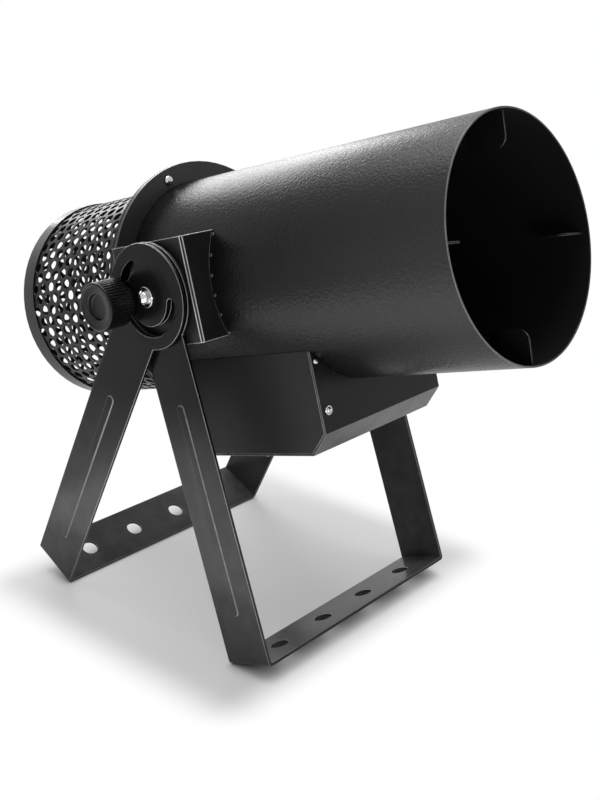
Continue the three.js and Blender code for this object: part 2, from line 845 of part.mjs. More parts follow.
function housingSide(side) {
  const inset = housingSheet + seatGap;
  const from = side > 0 ? housingHalf - housingSheet : -housingHalf;
  const plate = solid(slabAcross(housingShape(inset, housingBack), from, from + housingSheet));
  const inner = side * (housingHalf - housingSheet / 2);
  const tabEnds = [inner, side * (housingHalf - tabSize)].sort((a, b) => a - b);
  const half = tabSize / 2;
  const front = housingFront - inset;
  const bottom = -housingBelow + inset;
  const frontTab = rectangle(
    tabEnds[0],
    -frontScrewBelow - half,
    tabEnds[1],
    -frontScrewBelow + half,
  );
  const bottomTab = rectangle(tabEnds[0], bottom, tabEnds[1], bottom + housingSheet);
  const cutters = [barrelSpace(-barrelRadius, muzzleReach)];
  for (const place of housingScrewPlaces()) cutters.push(screwHole(place));
  if (side > 0) {
    const radius = buttonRadius + buttonClearance;
    const past = [housingHalf - housingSheet - cutOverrun, housingHalf + cutOverrun];
    for (const y of buttonPlaces()) {
      cutters.push(solid(slabAcross(circle(y, -boardBelow, radius), ...past, tinyRoundSteps)));
    }
    cutters.push(solid(slabAcross(displayShape(seatGap), ...past)));
  }
  return cut(
    joined([
      plate,
      solid(slabAlong(frontTab, front - housingSheet, front)),
      solid(slabAlong(bottomTab, bottomScrewAhead - half, bottomScrewAhead + half)),
    ]),
    cutters,
  );
}

const buttonPlaces = () =>
  Array.from({ length: buttonCount }, (_, i) => -(buttonFirstAhead + i * buttonPitch));

function displayShape(grow) {
  const halfWidth = displayWidth / 2 + grow;
  const halfHeight = displayHeight / 2 + grow;
  return rectangle(
    -displayAhead - halfWidth,
    -boardBelow - halfHeight,
    -displayAhead + halfWidth,
    -boardBelow + halfHeight,
  );
}

function displayWindow() {
  const face = housingHalf + displayProud;
  return solid(slabAcross(displayShape(0), face - displayThickness, face));
}

function centred(x, z, width, height) {
  return rectangle(x - width / 2, z - height / 2, x + width / 2, z + height / 2);
}

function rearPanel() {
  const half = housingHalf - housingSheet - seatGap;
  const shape = rectangle(-half, -housingBelow + housingSheet + seatGap, half, -axisDrop);
  const from = -housingBack;
  const to = from + housingSheet;
  const past = [from - cutOverrun, to + cutOverrun];
  const round = socketBodyRadius + seatGap;
  const inlet = [inletBodyWidth, inletBodyHeight].map((size) => size + 2 * seatGap);
  return cut(solid(slabAlong(shape, from, to)), [
    barrelSpace(-barrelRadius, muzzleReach),
    ...[socketInSide, socketOutSide].map((x) =>
      rodAlong(x, -socketBelow, round, ...past, smallRoundSteps),
    ),
    solid(slabAlong(centred(inletSide, -inletBelow, ...inlet), ...past)),
  ]);
}

function signalSocket(x) {
  const face = -housingBack - seatGap;
  const back = face - socketFlangeThickness;
  const z = -socketBelow;
  const flange = centred(x, z, socketFlangeWidth, socketFlangeHeight);
  return cut(
    joined([
      solid(slabAlong(flange, back, face)),
      rodAlong(x, z, socketBodyRadius, back, face + socketBodyDepth, smallRoundSteps),
    ]),
    [rodAlong(x, z, socketBoreRadius, back - cutOverrun, back + socketBoreDepth, smallRoundSteps)],
  );
}

function powerInlet() {
  const face = -housingBack - seatGap;
  const back = face - inletThickness;
  const at = [inletSide, -inletBelow];
  const flange = centred(...at, inletWidth, inletHeight);
  const body = centred(...at, inletBodyWidth, inletBodyHeight);
  const bore = centred(...at, inletBoreWidth, inletBoreHeight);
  return cut(
    joined([
      solid(slabAlong(flange, back, face)),
      solid(slabAlong(body, back, face + inletBodyDepth)),
    ]),
    [solid(slabAlong(bore, back - cutOverrun, back + inletBoreDepth))],
  );
}

// Control board behind the right-hand side plate

const boardFace = housingHalf - housingSheet - boardStandOff;

function controlBoard() {
  const board = solid(
    slabAcross(
      rectangle(
        -boardAhead - boardLength / 2,
        -boardBelow - boardHeight / 2,
        -boardAhead + boardLength / 2,
        -boardBelow + boardHeight / 2,
      ),
      boardFace - boardThickness,
      boardFace,
    ),
  );
  const halfSwitch = switchWidth / 2;
  const switches = buttonPlaces().map((y) =>
    solid(
      slabAcross(
        rectangle(y - halfSwitch, -boardBelow - halfSwitch, y + halfSwitch, -boardBelow + halfSwitch),
        boardFace - boardThickness / 2,
        boardFace + switchHeight,
      ),
    ),
  );
  return joined([board, ...switches]);
}

function boardSpacer(index) {
  const alongSign = index % 2 ? 1 : -1;
  const upSign = index < spacerCount / 2 ? 1 : -1;
  const y = -boardAhead + alongSign * (boardLength / 2 - spacerInset);
  const z = -boardBelow + upSign * (boardHeight / 2 - spacerInset);
  const to = housingHalf - housingSheet - seatGap;
  return solid(slabAcross(circle(y, z, spacerRadius), boardFace + seatGap, to, tinyRoundSteps));
}

function buttonCap(index) {
  const shape = circle(buttonPlaces()[index], -boardBelow, buttonRadius);
  const inner = boardFace + switchHeight + buttonTravel + seatGap;
  return solid(slabAcross(shape, inner, housingHalf + buttonProud, tinyRoundSteps));
}

function powerSupply() {
  const floor = -housingBelow + housingSheet + seatGap;
  const halfW = supplyWidth / 2;
  const shape = rectangle(supplySide - halfW, floor, supplySide + halfW, floor + supplyHeight);
  const back = supplyAhead - supplyLength / 2;
  return solid(slabAlong(shape, back, back + supplyLength));
}

// Screws

// A domed screw standing on the origin, its head along +Y.
function screwGeometry(shank, length, head, headHeight) {
  const profile = [[0, -length], [shank, -length], [shank, 0], ...dome(head, 0, headHeight)];
  const points = profile.map(([radius, up]) => new THREE.Vector2(radius, up));
  return new THREE.LatheGeometry(points, tinyRoundSteps);
}

// Where the housing's screws are seated, as [x, reach, z, angle that turns +Y to the head's way].
function housingScrewPlaces() {
  const x = housingHalf - screwInset;
  const front = housingFront + seatGap;
  const bottom = -housingBelow - seatGap;
  return [
    [-x, front, -frontScrewBelow, Math.PI],
    [x, front, -frontScrewBelow, Math.PI],
    [-x, bottomScrewAhead, bottom, -Math.PI / 2],
    [x, bottomScrewAhead, bottom, -Math.PI / 2],
  ];
}

function housingScrew([x, reach, z, turn]) {
  const body = screwGeometry(
    housingScrewShank,
    housingScrewLength,
    housingScrewHead,
    housingScrewHeadHeight,
  );
  return solid(body.rotateX(turn).translate(x, -reach, z));
}

function screwHole([x, reach, z, turn]) {
  const length = 2 * housingScrewLength + 2 * cutOverrun;
  const hole = new THREE.CylinderGeometry(
    housingScrewShank + seatGap,
    housingScrewShank + seatGap,
    length,
    tinyRoundSteps,
  );
  return solid(hole.rotateX(turn).translate(x, -reach, z));
}

function flangeScrew(index) {
  const [x, z] = flangeBoltPlaces()[index];
  const seat = -flangeReach + flangeThickness + seatGap;
  const length = seat - motorPlateBack + flangeScrewTail;
  const body = screwGeometry(flangeScrewShank, length, flangeScrewHead, flangeScrewHeadHeight);
  return solid(body.rotateX(Math.PI).translate(x, -seat, z));
}

// The machine

const sides = [
  ["left", -1],
  ["right", 1],
];

const blower = new THREE.Group();
blower.position.set(0, pivotY, pivotHeight);
blower.rotation.x = -rad(tiltDeg);
blower.add(piece("barrel_tube", barrelTube(), blackTexture));
blower.add(piece("barrel_flange", barrelFlange(), blackTexture));
["top", "right", "bottom", "left"].forEach((where, i) => {
  blower.add(piece("muzzle_fin_" + where, muzzleFin(i), blackTexture));
});
blower.add(piece("loading_grid", loadingGrid(), blackSatin));
blower.add(piece("motor_plate", motorPlate(), blackTexture));
blower.add(piece("motor_body", motorBody(), darkMetal));
blower.add(piece("motor_shaft", motorShaft(), zinc));
blower.add(piece("impeller", impeller(), blackPlastic));
blower.add(piece("cage_sheet", cageSheet(), blackSatin));
blower.add(piece("cage_end_ring", cageEndRing(), blackSatin));
blower.add(piece("cage_end_disc", cageEndDisc(), blackSatin));
for (let i = 0; i < flangeBoltCount; i += 1) {
  blower.add(piece("flange_screw_" + (i + 1), flangeScrew(i), chrome));
}
for (const [where, side] of sides) {
  blower.add(piece("side_bracket_" + where, sideBracket(side), blackTexture));
  blower.add(piece("pivot_bolt_" + where, pivotBolt(side), chrome));
  blower.add(piece("inner_washer_" + where, pivotWasher(side, bracketHalf), zinc));
  blower.add(piece("outer_washer_" + where, pivotWasher(side, frontYokeHalf), zinc));
  blower.add(piece("clamp_nut_" + where, clampNut(side), zinc));
  blower.add(piece("clamp_stud_" + where, clampStud(side), zinc));
  blower.add(piece("clamp_washer_" + where, clampWasher(side), zinc));
  blower.add(piece("clamp_knob_" + where, clampKnob(side), blackPlastic));
  blower.add(piece("housing_side_" + where, housingSide(side), blackSatin));
}
blower.add(piece("housing_wrap", housingWrap(), blackSatin));
blower.add(piece("rear_panel", rearPanel(), blackSatin));
blower.add(piece("signal_socket_in", signalSocket(socketInSide), blackPlastic));
blower.add(piece("signal_socket_out", signalSocket(socketOutSide), blackPlastic));
blower.add(piece("power_inlet", powerInlet(), blackPlastic));
blower.add(piece("power_supply", powerSupply(), zinc));
blower.add(piece("control_board", controlBoard(), greenBoard));
blower.add(piece("display_window", displayWindow(), displayGlass));
for (let i = 0; i < spacerCount; i += 1) {
  blower.add(piece("board_spacer_" + (i + 1), boardSpacer(i), zinc));
}
for (let i = 0; i < buttonCount; i += 1) {
  blower.add(piece("button_" + (i + 1), buttonCap(i), blackPlastic));
}
housingScrewPlaces().forEach((place, i) => {
  blower.add(piece("housing_screw_" + (i + 1), housingScrew(place), chrome));
});

const rearYoke = new THREE.Group();
rearYoke.position.set(0, pivotY, pivotHeight);
rearYoke.rotation.x = rad(rearLegDeg);
rearYoke.add(
  piece(
    "rear_yoke",
    yoke(rearYokeHalf, rearLegLength, rearBeadStart, rearBeadFootGap),
    blackSatin,
  ),
);

const frontYoke = new THREE.Group();
frontYoke.position.set(0, pivotY, pivotHeight);
frontYoke.rotation.x = -rad(frontLegDeg);
frontYoke.add(
  piece(
    "front_yoke",
    yoke(frontYokeHalf, frontLegLength, frontBeadStart, frontBeadFootGap),
    blackSatin,
  ),
);

const machine = new THREE.Group();
machine.add(blower, rearYoke, frontYoke);
export default machine;
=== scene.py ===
# Looks for a confetti blower on a scissor stand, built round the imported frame.
# Metres, +Z up, the muzzle points to -Y. Sizes in the settings are millimetres unless they say so.
import json
import math

import bmesh
import bpy
from mathutils import Matrix, Vector


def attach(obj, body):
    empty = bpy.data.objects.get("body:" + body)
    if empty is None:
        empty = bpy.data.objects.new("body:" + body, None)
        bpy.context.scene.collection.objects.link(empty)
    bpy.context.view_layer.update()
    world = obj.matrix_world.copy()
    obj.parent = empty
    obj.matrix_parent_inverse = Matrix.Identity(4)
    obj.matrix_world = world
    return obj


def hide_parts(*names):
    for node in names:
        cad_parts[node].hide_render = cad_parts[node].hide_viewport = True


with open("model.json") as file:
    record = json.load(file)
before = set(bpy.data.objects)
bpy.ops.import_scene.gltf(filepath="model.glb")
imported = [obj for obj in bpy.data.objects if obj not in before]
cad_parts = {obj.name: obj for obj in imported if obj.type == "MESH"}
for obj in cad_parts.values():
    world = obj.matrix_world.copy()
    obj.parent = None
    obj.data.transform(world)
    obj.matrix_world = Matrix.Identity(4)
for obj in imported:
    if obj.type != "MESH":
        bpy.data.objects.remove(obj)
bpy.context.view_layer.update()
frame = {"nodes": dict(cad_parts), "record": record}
nodes = frame["nodes"]
scene = bpy.context.scene
mm = 0.001
weldMm = 0.02
smoothDeg = 35.0
tiny = 1e-6
sides = (("left", -1), ("right", 1))

stand = {
    "pivotY": 28.455,
    "pivotZ": 305.802,
    "tiltDeg": 15.4,
    "axisDrop": 6.0,
}
pivotPoint = Vector((0, stand["pivotY"] * mm, stand["pivotZ"] * mm))
blowerFrame = Matrix.Translation(pivotPoint) @ Matrix.Rotation(
    math.radians(-stand["tiltDeg"]), 4, "X"
)
barrelFrame = blowerFrame @ Matrix.Translation((0, 0, -stand["axisDrop"] * mm))


def addObject(name, data):
    added = bpy.data.objects.new(name, data)
    scene.collection.objects.link(added)
    return added


# Camera, from the solved view of the photograph
view = {
    "place": (-692.62, -653.26, 540.77),
    "azimuthDeg": -50.35,
    "elevationDeg": 16.35,
    "rollDeg": 0.56,
    "focalPixels": 1120.43,
    "centrePixels": (349.12, 323.73),
    "framePixels": (600, 800),
    "sensorMm": 36.0,
    "clipMetres": (0.01, 50.0),
}


def makeCamera():
    azimuth = math.radians(view["azimuthDeg"])
    elevation = math.radians(view["elevationDeg"])
    roll = math.radians(view["rollDeg"])
    level = math.cos(elevation)
    back = Vector((math.sin(azimuth) * level, -math.cos(azimuth) * level, math.sin(elevation)))
    right = Vector((0, 0, 1)).cross(back).normalized()
    up = back.cross(right)
    turnedRight = right * math.cos(roll) + up * math.sin(roll)
    turnedUp = up * math.cos(roll) - right * math.sin(roll)
    camera = addObject("camera", bpy.data.cameras.new("camera"))
    axes = Matrix((turnedRight, turnedUp, back)).transposed().to_4x4()
    camera.matrix_world = Matrix.Translation(Vector(view["place"]) * mm) @ axes
    width, height = view["framePixels"]
    data = camera.data
    data.sensor_fit = "AUTO"
    data.sensor_width = view["sensorMm"]
    data.lens = view["focalPixels"] / height * view["sensorMm"]
    data.shift_x = (width / 2 - view["centrePixels"][0]) / height
    data.shift_y = (view["centrePixels"][1] - height / 2) / height
    data.clip_start, data.clip_end = view["clipMetres"]
    scene.camera = camera


makeCamera()
print("stage: camera")


# Node trees, for materials and for Geometry Nodes. An input's value may be another node's output.
def feed(tree, value, socket):
    if isinstance(value, bpy.types.NodeSocket):
        tree.links.new(value, socket)
    else:
        socket.default_value = value


def addNode(tree, kind, inputs=None, **properties):
    node = tree.nodes.new(kind)
    for key, value in properties.items():
        setattr(node, key, value)
    for key, value in (inputs or {}).items():
        feed(tree, value, node.inputs[key])
    return node


def calc(tree, operation, *values, **properties):
    inputs = dict(enumerate(values))
    return addNode(tree, "ShaderNodeMath", inputs, operation=operation, **properties).outputs[0]


def vectorCalc(tree, operation, *values):
    inputs = dict(enumerate(values))
    return addNode(tree, "ShaderNodeVectorMath", inputs, operation=operation).outputs


def vector(tree, x=0.0, y=0.0, z=0.0):
    return addNode(tree, "ShaderNodeCombineXYZ", {"X": x, "Y": y, "Z": z}).outputs[0]


def separate(tree, value):
    return addNode(tree, "ShaderNodeSeparateXYZ", {"Vector": value}).outputs


def ramp(tree, source, low, high, fromLow=0.35, fromHigh=0.65, **properties):
    inputs = {"Value": source, "From Min": fromLow, "From Max": fromHigh}
    inputs.update({"To Min": low, "To Max": high})
    return addNode(tree, "ShaderNodeMapRange", inputs, **properties).outputs["Result"]


def noise(tree, place, scale, detail):
    inputs = {"Vector": place, "Scale": scale, "Detail": detail}
    return addNode(tree, "ShaderNodeTexNoise", inputs).outputs["Fac"]


def mixColours(tree, share, first, second):
    inputs = {"Factor": share, "A": first, "B": second}
    return addNode(tree, "ShaderNodeMix", inputs, data_type="RGBA").outputs["Result"]


def mixShaders(tree, share, first, second):
    return addNode(tree, "ShaderNodeMixShader", {0: share, 1: first, 2: second}).outputs[0]


def emptyMaterial(name):
    material = bpy.data.materials.new(name)
    material.use_nodes = True
    material.node_tree.nodes.clear()
    return material, material.node_tree


# Paints and platings. A surface has two tones that drift into each other, a roughness that drifts
# with a fine speckle, and up to two layers of bump, each a scale per metre and a height. Heights
# of painted light are metres.
coatDefaults = {
    "driftScale": 22.0,
    "driftDetail": 3.0,
    "speckleScale": 900.0,
    "speckleDetail": 1.0,
    "bumpDetail": 1.5,
    "bumps": (),
    "metallic": 0.0,
    "specular": 0.5,
    "paintedLightOnTop": 0.0,
    "paintedLightBelow": 0.0,
    "paintedLightGrain": (0.75, 1.1),
    "upwardFrom": (0.5, 0.95),
    "downwardFrom": (-0.45, -0.2),
    "paintedAlong": (0, -1, 0),
}


# Painted light: faces that look up or down and, where the settings give heights, the parts near
# the floor are lightened in place of reflections and the floor's bounce light, broken up by a grain.
def addPaintedLight(tree, coordinates, colour, settings):
    facing = separate(tree, coordinates.outputs["Normal"])["Z"]
    place = coordinates.outputs["Object"]
    upward = ramp(tree, facing, 0.0, settings["paintedLightOnTop"], *settings["upwardFrom"])
    downward = ramp(tree, facing, settings["paintedLightBelow"], 0.0, *settings["downwardFrom"])
    amount = calc(tree, "MAXIMUM", upward, downward)
    if "paintedLightHeights" in settings:
        height = separate(tree, place)["Z"]
        low = ramp(tree, height, settings["paintedLightAtFloor"], 0.0, *settings["paintedLightHeights"])
        amount = calc(tree, "MAXIMUM", amount, low)
    grain = noise(tree, place, settings["paintedLightScale"], settings["driftDetail"])
    grain = ramp(tree, grain, *settings["paintedLightGrain"])
    share = calc(tree, "MULTIPLY", amount, grain, use_clamp=True)
    return mixColours(tree, share, colour, settings["paintedLightTone"])


# Painted light and shade: the colour turns into another one over a span of places along the barrel,
# or across it.
def paintedSpan(tree, place, colour, settings):
    direction = blowerFrame.to_3x3() @ Vector(settings["paintedAlong"])
    along = vectorCalc(tree, "DOT_PRODUCT", place, direction)["Value"]
    start = pivotPoint.dot(direction)
    near, far = settings["paintedOver"]
    share = ramp(tree, along, 0.0, 1.0, near * mm + start, far * mm + start)
    return mixColours(tree, share, colour, settings["paintedTone"])


def coatedMaterial(name, ownSettings):
    settings = {**coatDefaults, **ownSettings}
    material, tree = emptyMaterial(name)
    coordinates = addNode(tree, "ShaderNodeTexCoord")
    place = coordinates.outputs["Object"]
    drift = noise(tree, place, settings["driftScale"], settings["driftDetail"])
    colour = mixColours(tree, ramp(tree, drift, 0.0, 1.0), *settings["tones"])
    if "paintedLightTone" in settings:
        colour = addPaintedLight(tree, coordinates, colour, settings)
    if "paintedOver" in settings:
        colour = paintedSpan(tree, place, colour, settings)
    speckle = noise(tree, place, settings["speckleScale"], settings["speckleDetail"])
    surface = {
        "Base Color": colour,
        "Roughness": ramp(tree, speckle, *settings["roughness"]),
        "Metallic": settings["metallic"],
        "Specular IOR Level": settings["specular"],
    }
    for scale, height in settings["bumps"]:
        bump = {"Strength": 1.0, "Distance": height * mm}
        bump["Height"] = noise(tree, place, scale, settings["bumpDetail"])
        if "Normal" in surface:
            bump["Normal"] = surface["Normal"]
        surface["Normal"] = addNode(tree, "ShaderNodeBump", bump).outputs["Normal"]
    shader = addNode(tree, "ShaderNodeBsdfPrincipled", surface)
    addNode(tree, "ShaderNodeOutputMaterial", {"Surface": shader.outputs["BSDF"]})
    return material


def grey(level, blue=0.0):
    return (level, level, level + blue, 1)


satinFinish = {"roughness": (0.27, 0.36), "specular": 0.16, "bumps": ((1200.0, 0.035),)}
# Painted highlights: light paint on softened edges in place of the light that edges catch
edgeHighlightFinish = {
    "driftScale": 90.0,
    "roughness": (0.22, 0.32),
    "specular": 0.5,
    "bumps": ((1400.0, 0.02),),
}
coats = {
    # Painted light: the barrel's paint turns much lighter towards the muzzle
    "textured_black": {
        "tones": (grey(0.0045, 0.0005), grey(0.0065, 0.0005)),
        "paintedTone": grey(0.040, 0.0005),
        "paintedOver": (120.0, 300.0),
        "roughness": (0.25, 0.34),
        "specular": 0.14,
        "bumps": ((420.0, 0.42), (1100.0, 0.10)),
    },
    "satin_black": {**satinFinish, "tones": (grey(0.016, 0.001), grey(0.021, 0.001))},
    # Painted light: the stand is lighter towards the floor and on the tops of the foot bars
    "stand_black": {
        **satinFinish,
        "tones": (grey(0.0045, 0.0005), grey(0.0065, 0.0005)),
        "paintedLightTone": grey(0.105, 0.001),
        "paintedLightHeights": (0.0, 0.22),
        "paintedLightAtFloor": 0.66,
        "paintedLightOnTop": 1.15,
        "paintedLightScale": 60.0,
        "roughness": (0.19, 0.27),
        "specular": 0.12,
    },
    # Painted light: the ring is lighter on faces that look up
    "ring_black": {
        "tones": (grey(0.006, 0.0005), grey(0.009, 0.0005)),
        "paintedLightTone": grey(0.15, 0.001),
        "paintedLightOnTop": 1.0,
        "paintedLightScale": 60.0,
        "roughness": (0.20, 0.28),
        "specular": 0.34,
        "bumps": ((1200.0, 0.02),),
    },
    "flange_black": {
        **satinFinish,
        "tones": (grey(0.030, 0.0005), grey(0.038, 0.0005)),
        "specular": 0.26,
    },
    "painted_edge_highlight": {**edgeHighlightFinish, "tones": (grey(0.15, 0.002), grey(0.24, 0.003))},
    # Painted highlight on the barrel's lip, fading to dark from the -X side towards +X
    "lip_edge": {
        **edgeHighlightFinish,
        "tones": (grey(0.17, 0.002), grey(0.26, 0.003)),
        "paintedTone": grey(0.045, 0.0005),
        "paintedOver": (-62.0, 10.0),
        "paintedAlong": (1, 0, 0),
        "specular": 0.4,
    },
    # Painted highlight on the fins' edges, with painted shade deeper inside the barrel
    "fin_edge": {
        **edgeHighlightFinish,
        "tones": (grey(0.25, 0.002), grey(0.36, 0.003)),
        "paintedTone": grey(0.006),
        "paintedOver": (272.5, 268.0),
        "driftScale": 22.0,
        "specular": 0.4,
    },
    "fin_black": {
        "tones": (grey(0.011, 0.0002), grey(0.014, 0.0002)),
        "roughness": (0.40, 0.50),
        "specular": 0.15,
        "bumps": ((900.0, 0.05),),
    },
    # Painted reflection: the wrap is lighter on faces that look down, in place of the floor's
    # reflection
    "wrap_black": {
        **satinFinish,
        "tones": (grey(0.012, 0.0005), grey(0.016, 0.0005)),
        "paintedLightTone": grey(0.16, 0.001),
        "paintedLightBelow": 1.0,
        "paintedLightScale": 45.0,
    },
    "side_black": {
        **satinFinish,
        "tones": (grey(0.012, 0.0005), grey(0.016, 0.0005)),
        "roughness": (0.42, 0.52),
        "specular": 0.14,
    },
    "bracket_black": {
        **satinFinish,
        "tones": (grey(0.013, 0.0005), grey(0.018, 0.0005)),
        "roughness": (0.30, 0.40),
    },
    # Painted highlight on the brackets' edges, much brighter along the front fold
    "bracket_edge": {
        **edgeHighlightFinish,
        "tones": (grey(0.16, 0.002), grey(0.25, 0.003)),
        "paintedTone": grey(0.62, 0.002),
        "paintedOver": (34.0, 40.0),
    },
    "weld_bead": {
        "tones": (grey(0.035, 0.001), grey(0.06, 0.001)),
        "driftScale": 120.0,
        "roughness": (0.12, 0.2),
        "specular": 0.7,
        "bumps": ((900.0, 0.05),),
    },
    "matte_inside": {
        "tones": (grey(0.0042), grey(0.0058)),
        "roughness": (0.85, 0.95),
        "specular": 0.15,
        "bumps": ((800.0, 0.05),),
    },
    "moulded_black": {
        "tones": (grey(0.007, 0.0005), grey(0.0095, 0.0005)),
        "roughness": (0.24, 0.32),
        "specular": 0.2,
        "bumps": ((1600.0, 0.02),),
    },
    "chrome_plate": {
        "tones": (grey(0.50, 0.01), grey(0.57, 0.01)),
        "roughness": (0.08, 0.15),
        "metallic": 1.0,
    },
    "zinc_plate": {
        "tones": ((0.40, 0.41, 0.43, 1), grey(0.50, 0.01)),
        "roughness": (0.28, 0.40),
        "metallic": 1.0,
        "bumps": ((900.0, 0.02),),
    },
    "enamel_dark": {
        "tones": ((0.030, 0.031, 0.034, 1), (0.045, 0.046, 0.050, 1)),
        "roughness": (0.35, 0.5),
        "bumps": ((700.0, 0.04),),
    },
    "board_green": {
        "tones": ((0.010, 0.060, 0.022, 1), (0.016, 0.085, 0.030, 1)),
        "driftScale": 160.0,
        "roughness": (0.3, 0.45),
    },
    "case_metal": {
        "tones": ((0.48, 0.49, 0.50, 1), (0.56, 0.57, 0.58, 1)),
        "roughness": (0.32, 0.45),
        "metallic": 1.0,
        "bumps": ((500.0, 0.02),),
    },
    "dark_window": {
        "tones": ((0.004, 0.007, 0.016, 1), (0.006, 0.010, 0.022, 1)),
        "roughness": (0.05, 0.09),
    },
}
paints = {name: coatedMaterial(name, settings) for name, settings in coats.items()}
slotPaints = {
    "black_texture": "textured_black",
    "black_satin": "satin_black",
    "black_plastic": "moulded_black",
    "chrome": "chrome_plate",
    "zinc": "zinc_plate",
    "motor_metal": "enamel_dark",
    "board_green": "board_green",
    "supply_case": "case_metal",
    "display_glass": "dark_window",
}
print("stage: materials")


# Geometry Nodes: small helpers, then one tree for each thing that repeats
def startTree(name, kinds, defaults=None):
    tree = bpy.data.node_groups.new(name, "GeometryNodeTree")
    for label, kind in kinds.items():
        socket = tree.interface.new_socket(label, in_out="INPUT", socket_type="NodeSocket" + kind)
        if label in (defaults or {}):
            socket.default_value = defaults[label]
    tree.interface.new_socket("Geometry", in_out="OUTPUT", socket_type="NodeSocketGeometry")
    return tree, addNode(tree, "NodeGroupInput").outputs


def step(tree, kind, geometry, inputs=None, **properties):
    node = addNode(tree, kind, inputs, **properties)
    if geometry is not None:
        tree.links.new(geometry, node.inputs[0])
    return node.outputs[0]


# CAD nodes keep their shape: softened edges, smooth curved faces and their own paint, with a painted
# highlight, a much lighter paint, on the softened edges of some
def softenedTree():
    kinds = {"Geometry": "Geometry", "Weld": "Float"}
    tree, source = startTree("edgeFinish", kinds, {"Weld": weldMm * mm})
    inputs = {"Distance": source["Weld"]}
    welded = step(tree, "GeometryNodeMergeByDistance", source["Geometry"], inputs)
    smooth = step(tree, "GeometryNodeSetShadeSmooth", welded)
    addNode(tree, "NodeGroupOutput", {0: smooth})
    return tree


softened = softenedTree()
nodeDefaults = {"width": 0.25, "segments": 2, "clamp": True}
yokeLooks = {
    "paint": "stand_black",
    "edge": "painted_edge_highlight",
    "width": 0.45,
    "segments": 1,
    "clamp": False,
}
nodeLooks = {
    "rear_yoke": yokeLooks,
    "front_yoke": yokeLooks,
    "side_bracket": {"paint": "bracket_black", "edge": "bracket_edge", "width": 0.5},
    "housing_side": {"paint": "side_black", "edge": "painted_edge_highlight", "width": 0.4, "segments": 1},
    "housing_wrap": {"paint": "wrap_black", "edge": "painted_edge_highlight", "width": 0.4, "segments": 1},
    "barrel_flange": {"paint": "flange_black", "edge": "painted_edge_highlight"},
    "muzzle_fin": {"paint": "fin_black", "edge": "fin_edge"},
    "cage_end_ring": {"paint": "ring_black"},
}


# A node has looks under its own name, or under the name that it shares with its copies.
def finishNode(name, node, slot):
    shared = name.rsplit("_", 1)[0]
    settings = {**nodeDefaults, **nodeLooks.get(name, nodeLooks.get(shared, {}))}
    node.modifiers.new("edgeFinish", "NODES").node_group = softened
    bevel = node.modifiers.new("bevel", "BEVEL")
    bevel.width = settings["width"] * mm
    bevel.segments = settings["segments"]
    bevel.limit_method = "ANGLE"
    bevel.angle_limit = math.radians(smoothDeg)
    bevel.use_clamp_overlap = settings["clamp"]
    bevel.harden_normals = False
    node.modifiers.new("normals", "WEIGHTED_NORMAL").keep_sharp = True
    node.data.materials.clear()
    node.data.materials.append(paints[settings.get("paint", slotPaints[slot])])
    if "edge" in settings:
        bevel.material = 1
        node.data.materials.append(paints[settings["edge"]])


slotOf = {part["node"]: part["material_slot"] for part in frame["record"]["subparts"]}
for name, node in nodes.items():
    finishNode(name, node, slotOf[name])
print("stage: CAD nodes")


def joinAll(tree, *parts):
    node = addNode(tree, "GeometryNodeJoinGeometry")
    for part in parts:
        tree.links.new(part, node.inputs[0])
    return node.outputs[0]


def objectGeometry(tree, socket):
    return addNode(tree, "GeometryNodeObjectInfo", {"Object": socket}).outputs["Geometry"]


def endTree(tree, geometry, material):
    whole = step(tree, "GeometryNodeRealizeInstances", geometry)
    painted = step(tree, "GeometryNodeSetMaterial", whole, {"Material": material})
    addNode(tree, "NodeGroupOutput", {0: painted})
    return tree


# Runs a tree, on a mesh of points where it needs one, and gives back a plain mesh.
def grow(name, tree, values, points=None):
    maker = addObject(name, points or bpy.data.meshes.new(name))
    modifier = maker.modifiers.new("nodes", "NODES")
    modifier.node_group = tree
    for item in tree.interface.items_tree:
        if item.in_out == "INPUT" and item.name in values:
            modifier[item.identifier] = values[item.name]
    depsgraph = bpy.context.evaluated_depsgraph_get()
    mesh = bpy.data.meshes.new_from_object(maker.evaluated_get(depsgraph), depsgraph=depsgraph)
    bpy.data.objects.remove(maker)
    return mesh


def addPiece(name, mesh, place, body, replaced=()):
    mesh.name = name
    mesh.transform(place)
    piece = addObject(name, mesh)
    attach(piece, body)
    if replaced:
        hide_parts(*replaced)


def smoothByAngle(mesh, degrees=smoothDeg):
    mesh.shade_smooth()
    mesh.set_sharp_from_angle(angle=math.radians(degrees))
    return mesh


# A closed shape turned about Z from [radius, height] points. A radius may be a function of the
# angle, which makes recesses that aren't round.
def turned(name, profile, steps, ringShaped=False):
    builder = bmesh.new()
    rings = []
    for radius, height in profile:
        if radius == 0:
            rings.append([builder.verts.new((0, 0, height * mm))])
            continue
        ring = []
        for i in range(steps):
            turn = 2 * math.pi * i / steps
            reach = (radius(turn) if callable(radius) else radius) * mm
            x, y = reach * math.cos(turn), reach * math.sin(turn)
            ring.append(builder.verts.new((x, y, height * mm)))
        rings.append(ring)
    pairs = list(zip(rings, rings[1:]))
    if ringShaped:
        pairs.append((rings[-1], rings[0]))
    for lower, upper in pairs:
        for i in range(steps):
            j = (i + 1) % steps
            if len(lower) == 1:
                builder.faces.new((lower[0], upper[j], upper[i]))
            elif len(upper) == 1:
                builder.faces.new((lower[i], lower[j], upper[0]))
            else:
                builder.faces.new((lower[i], lower[j], upper[j], upper[i]))
    bmesh.ops.recalc_face_normals(builder, faces=builder.faces[:])
    mesh = bpy.data.meshes.new(name)
    builder.to_mesh(mesh)
    builder.free()
    return smoothByAngle(mesh)


def aroundCircle(radius, count, first=0.0):
    turns = [first + 2 * math.pi * i / count for i in range(count)]
    return [(radius * math.cos(turn), radius * math.sin(turn)) for turn in turns]


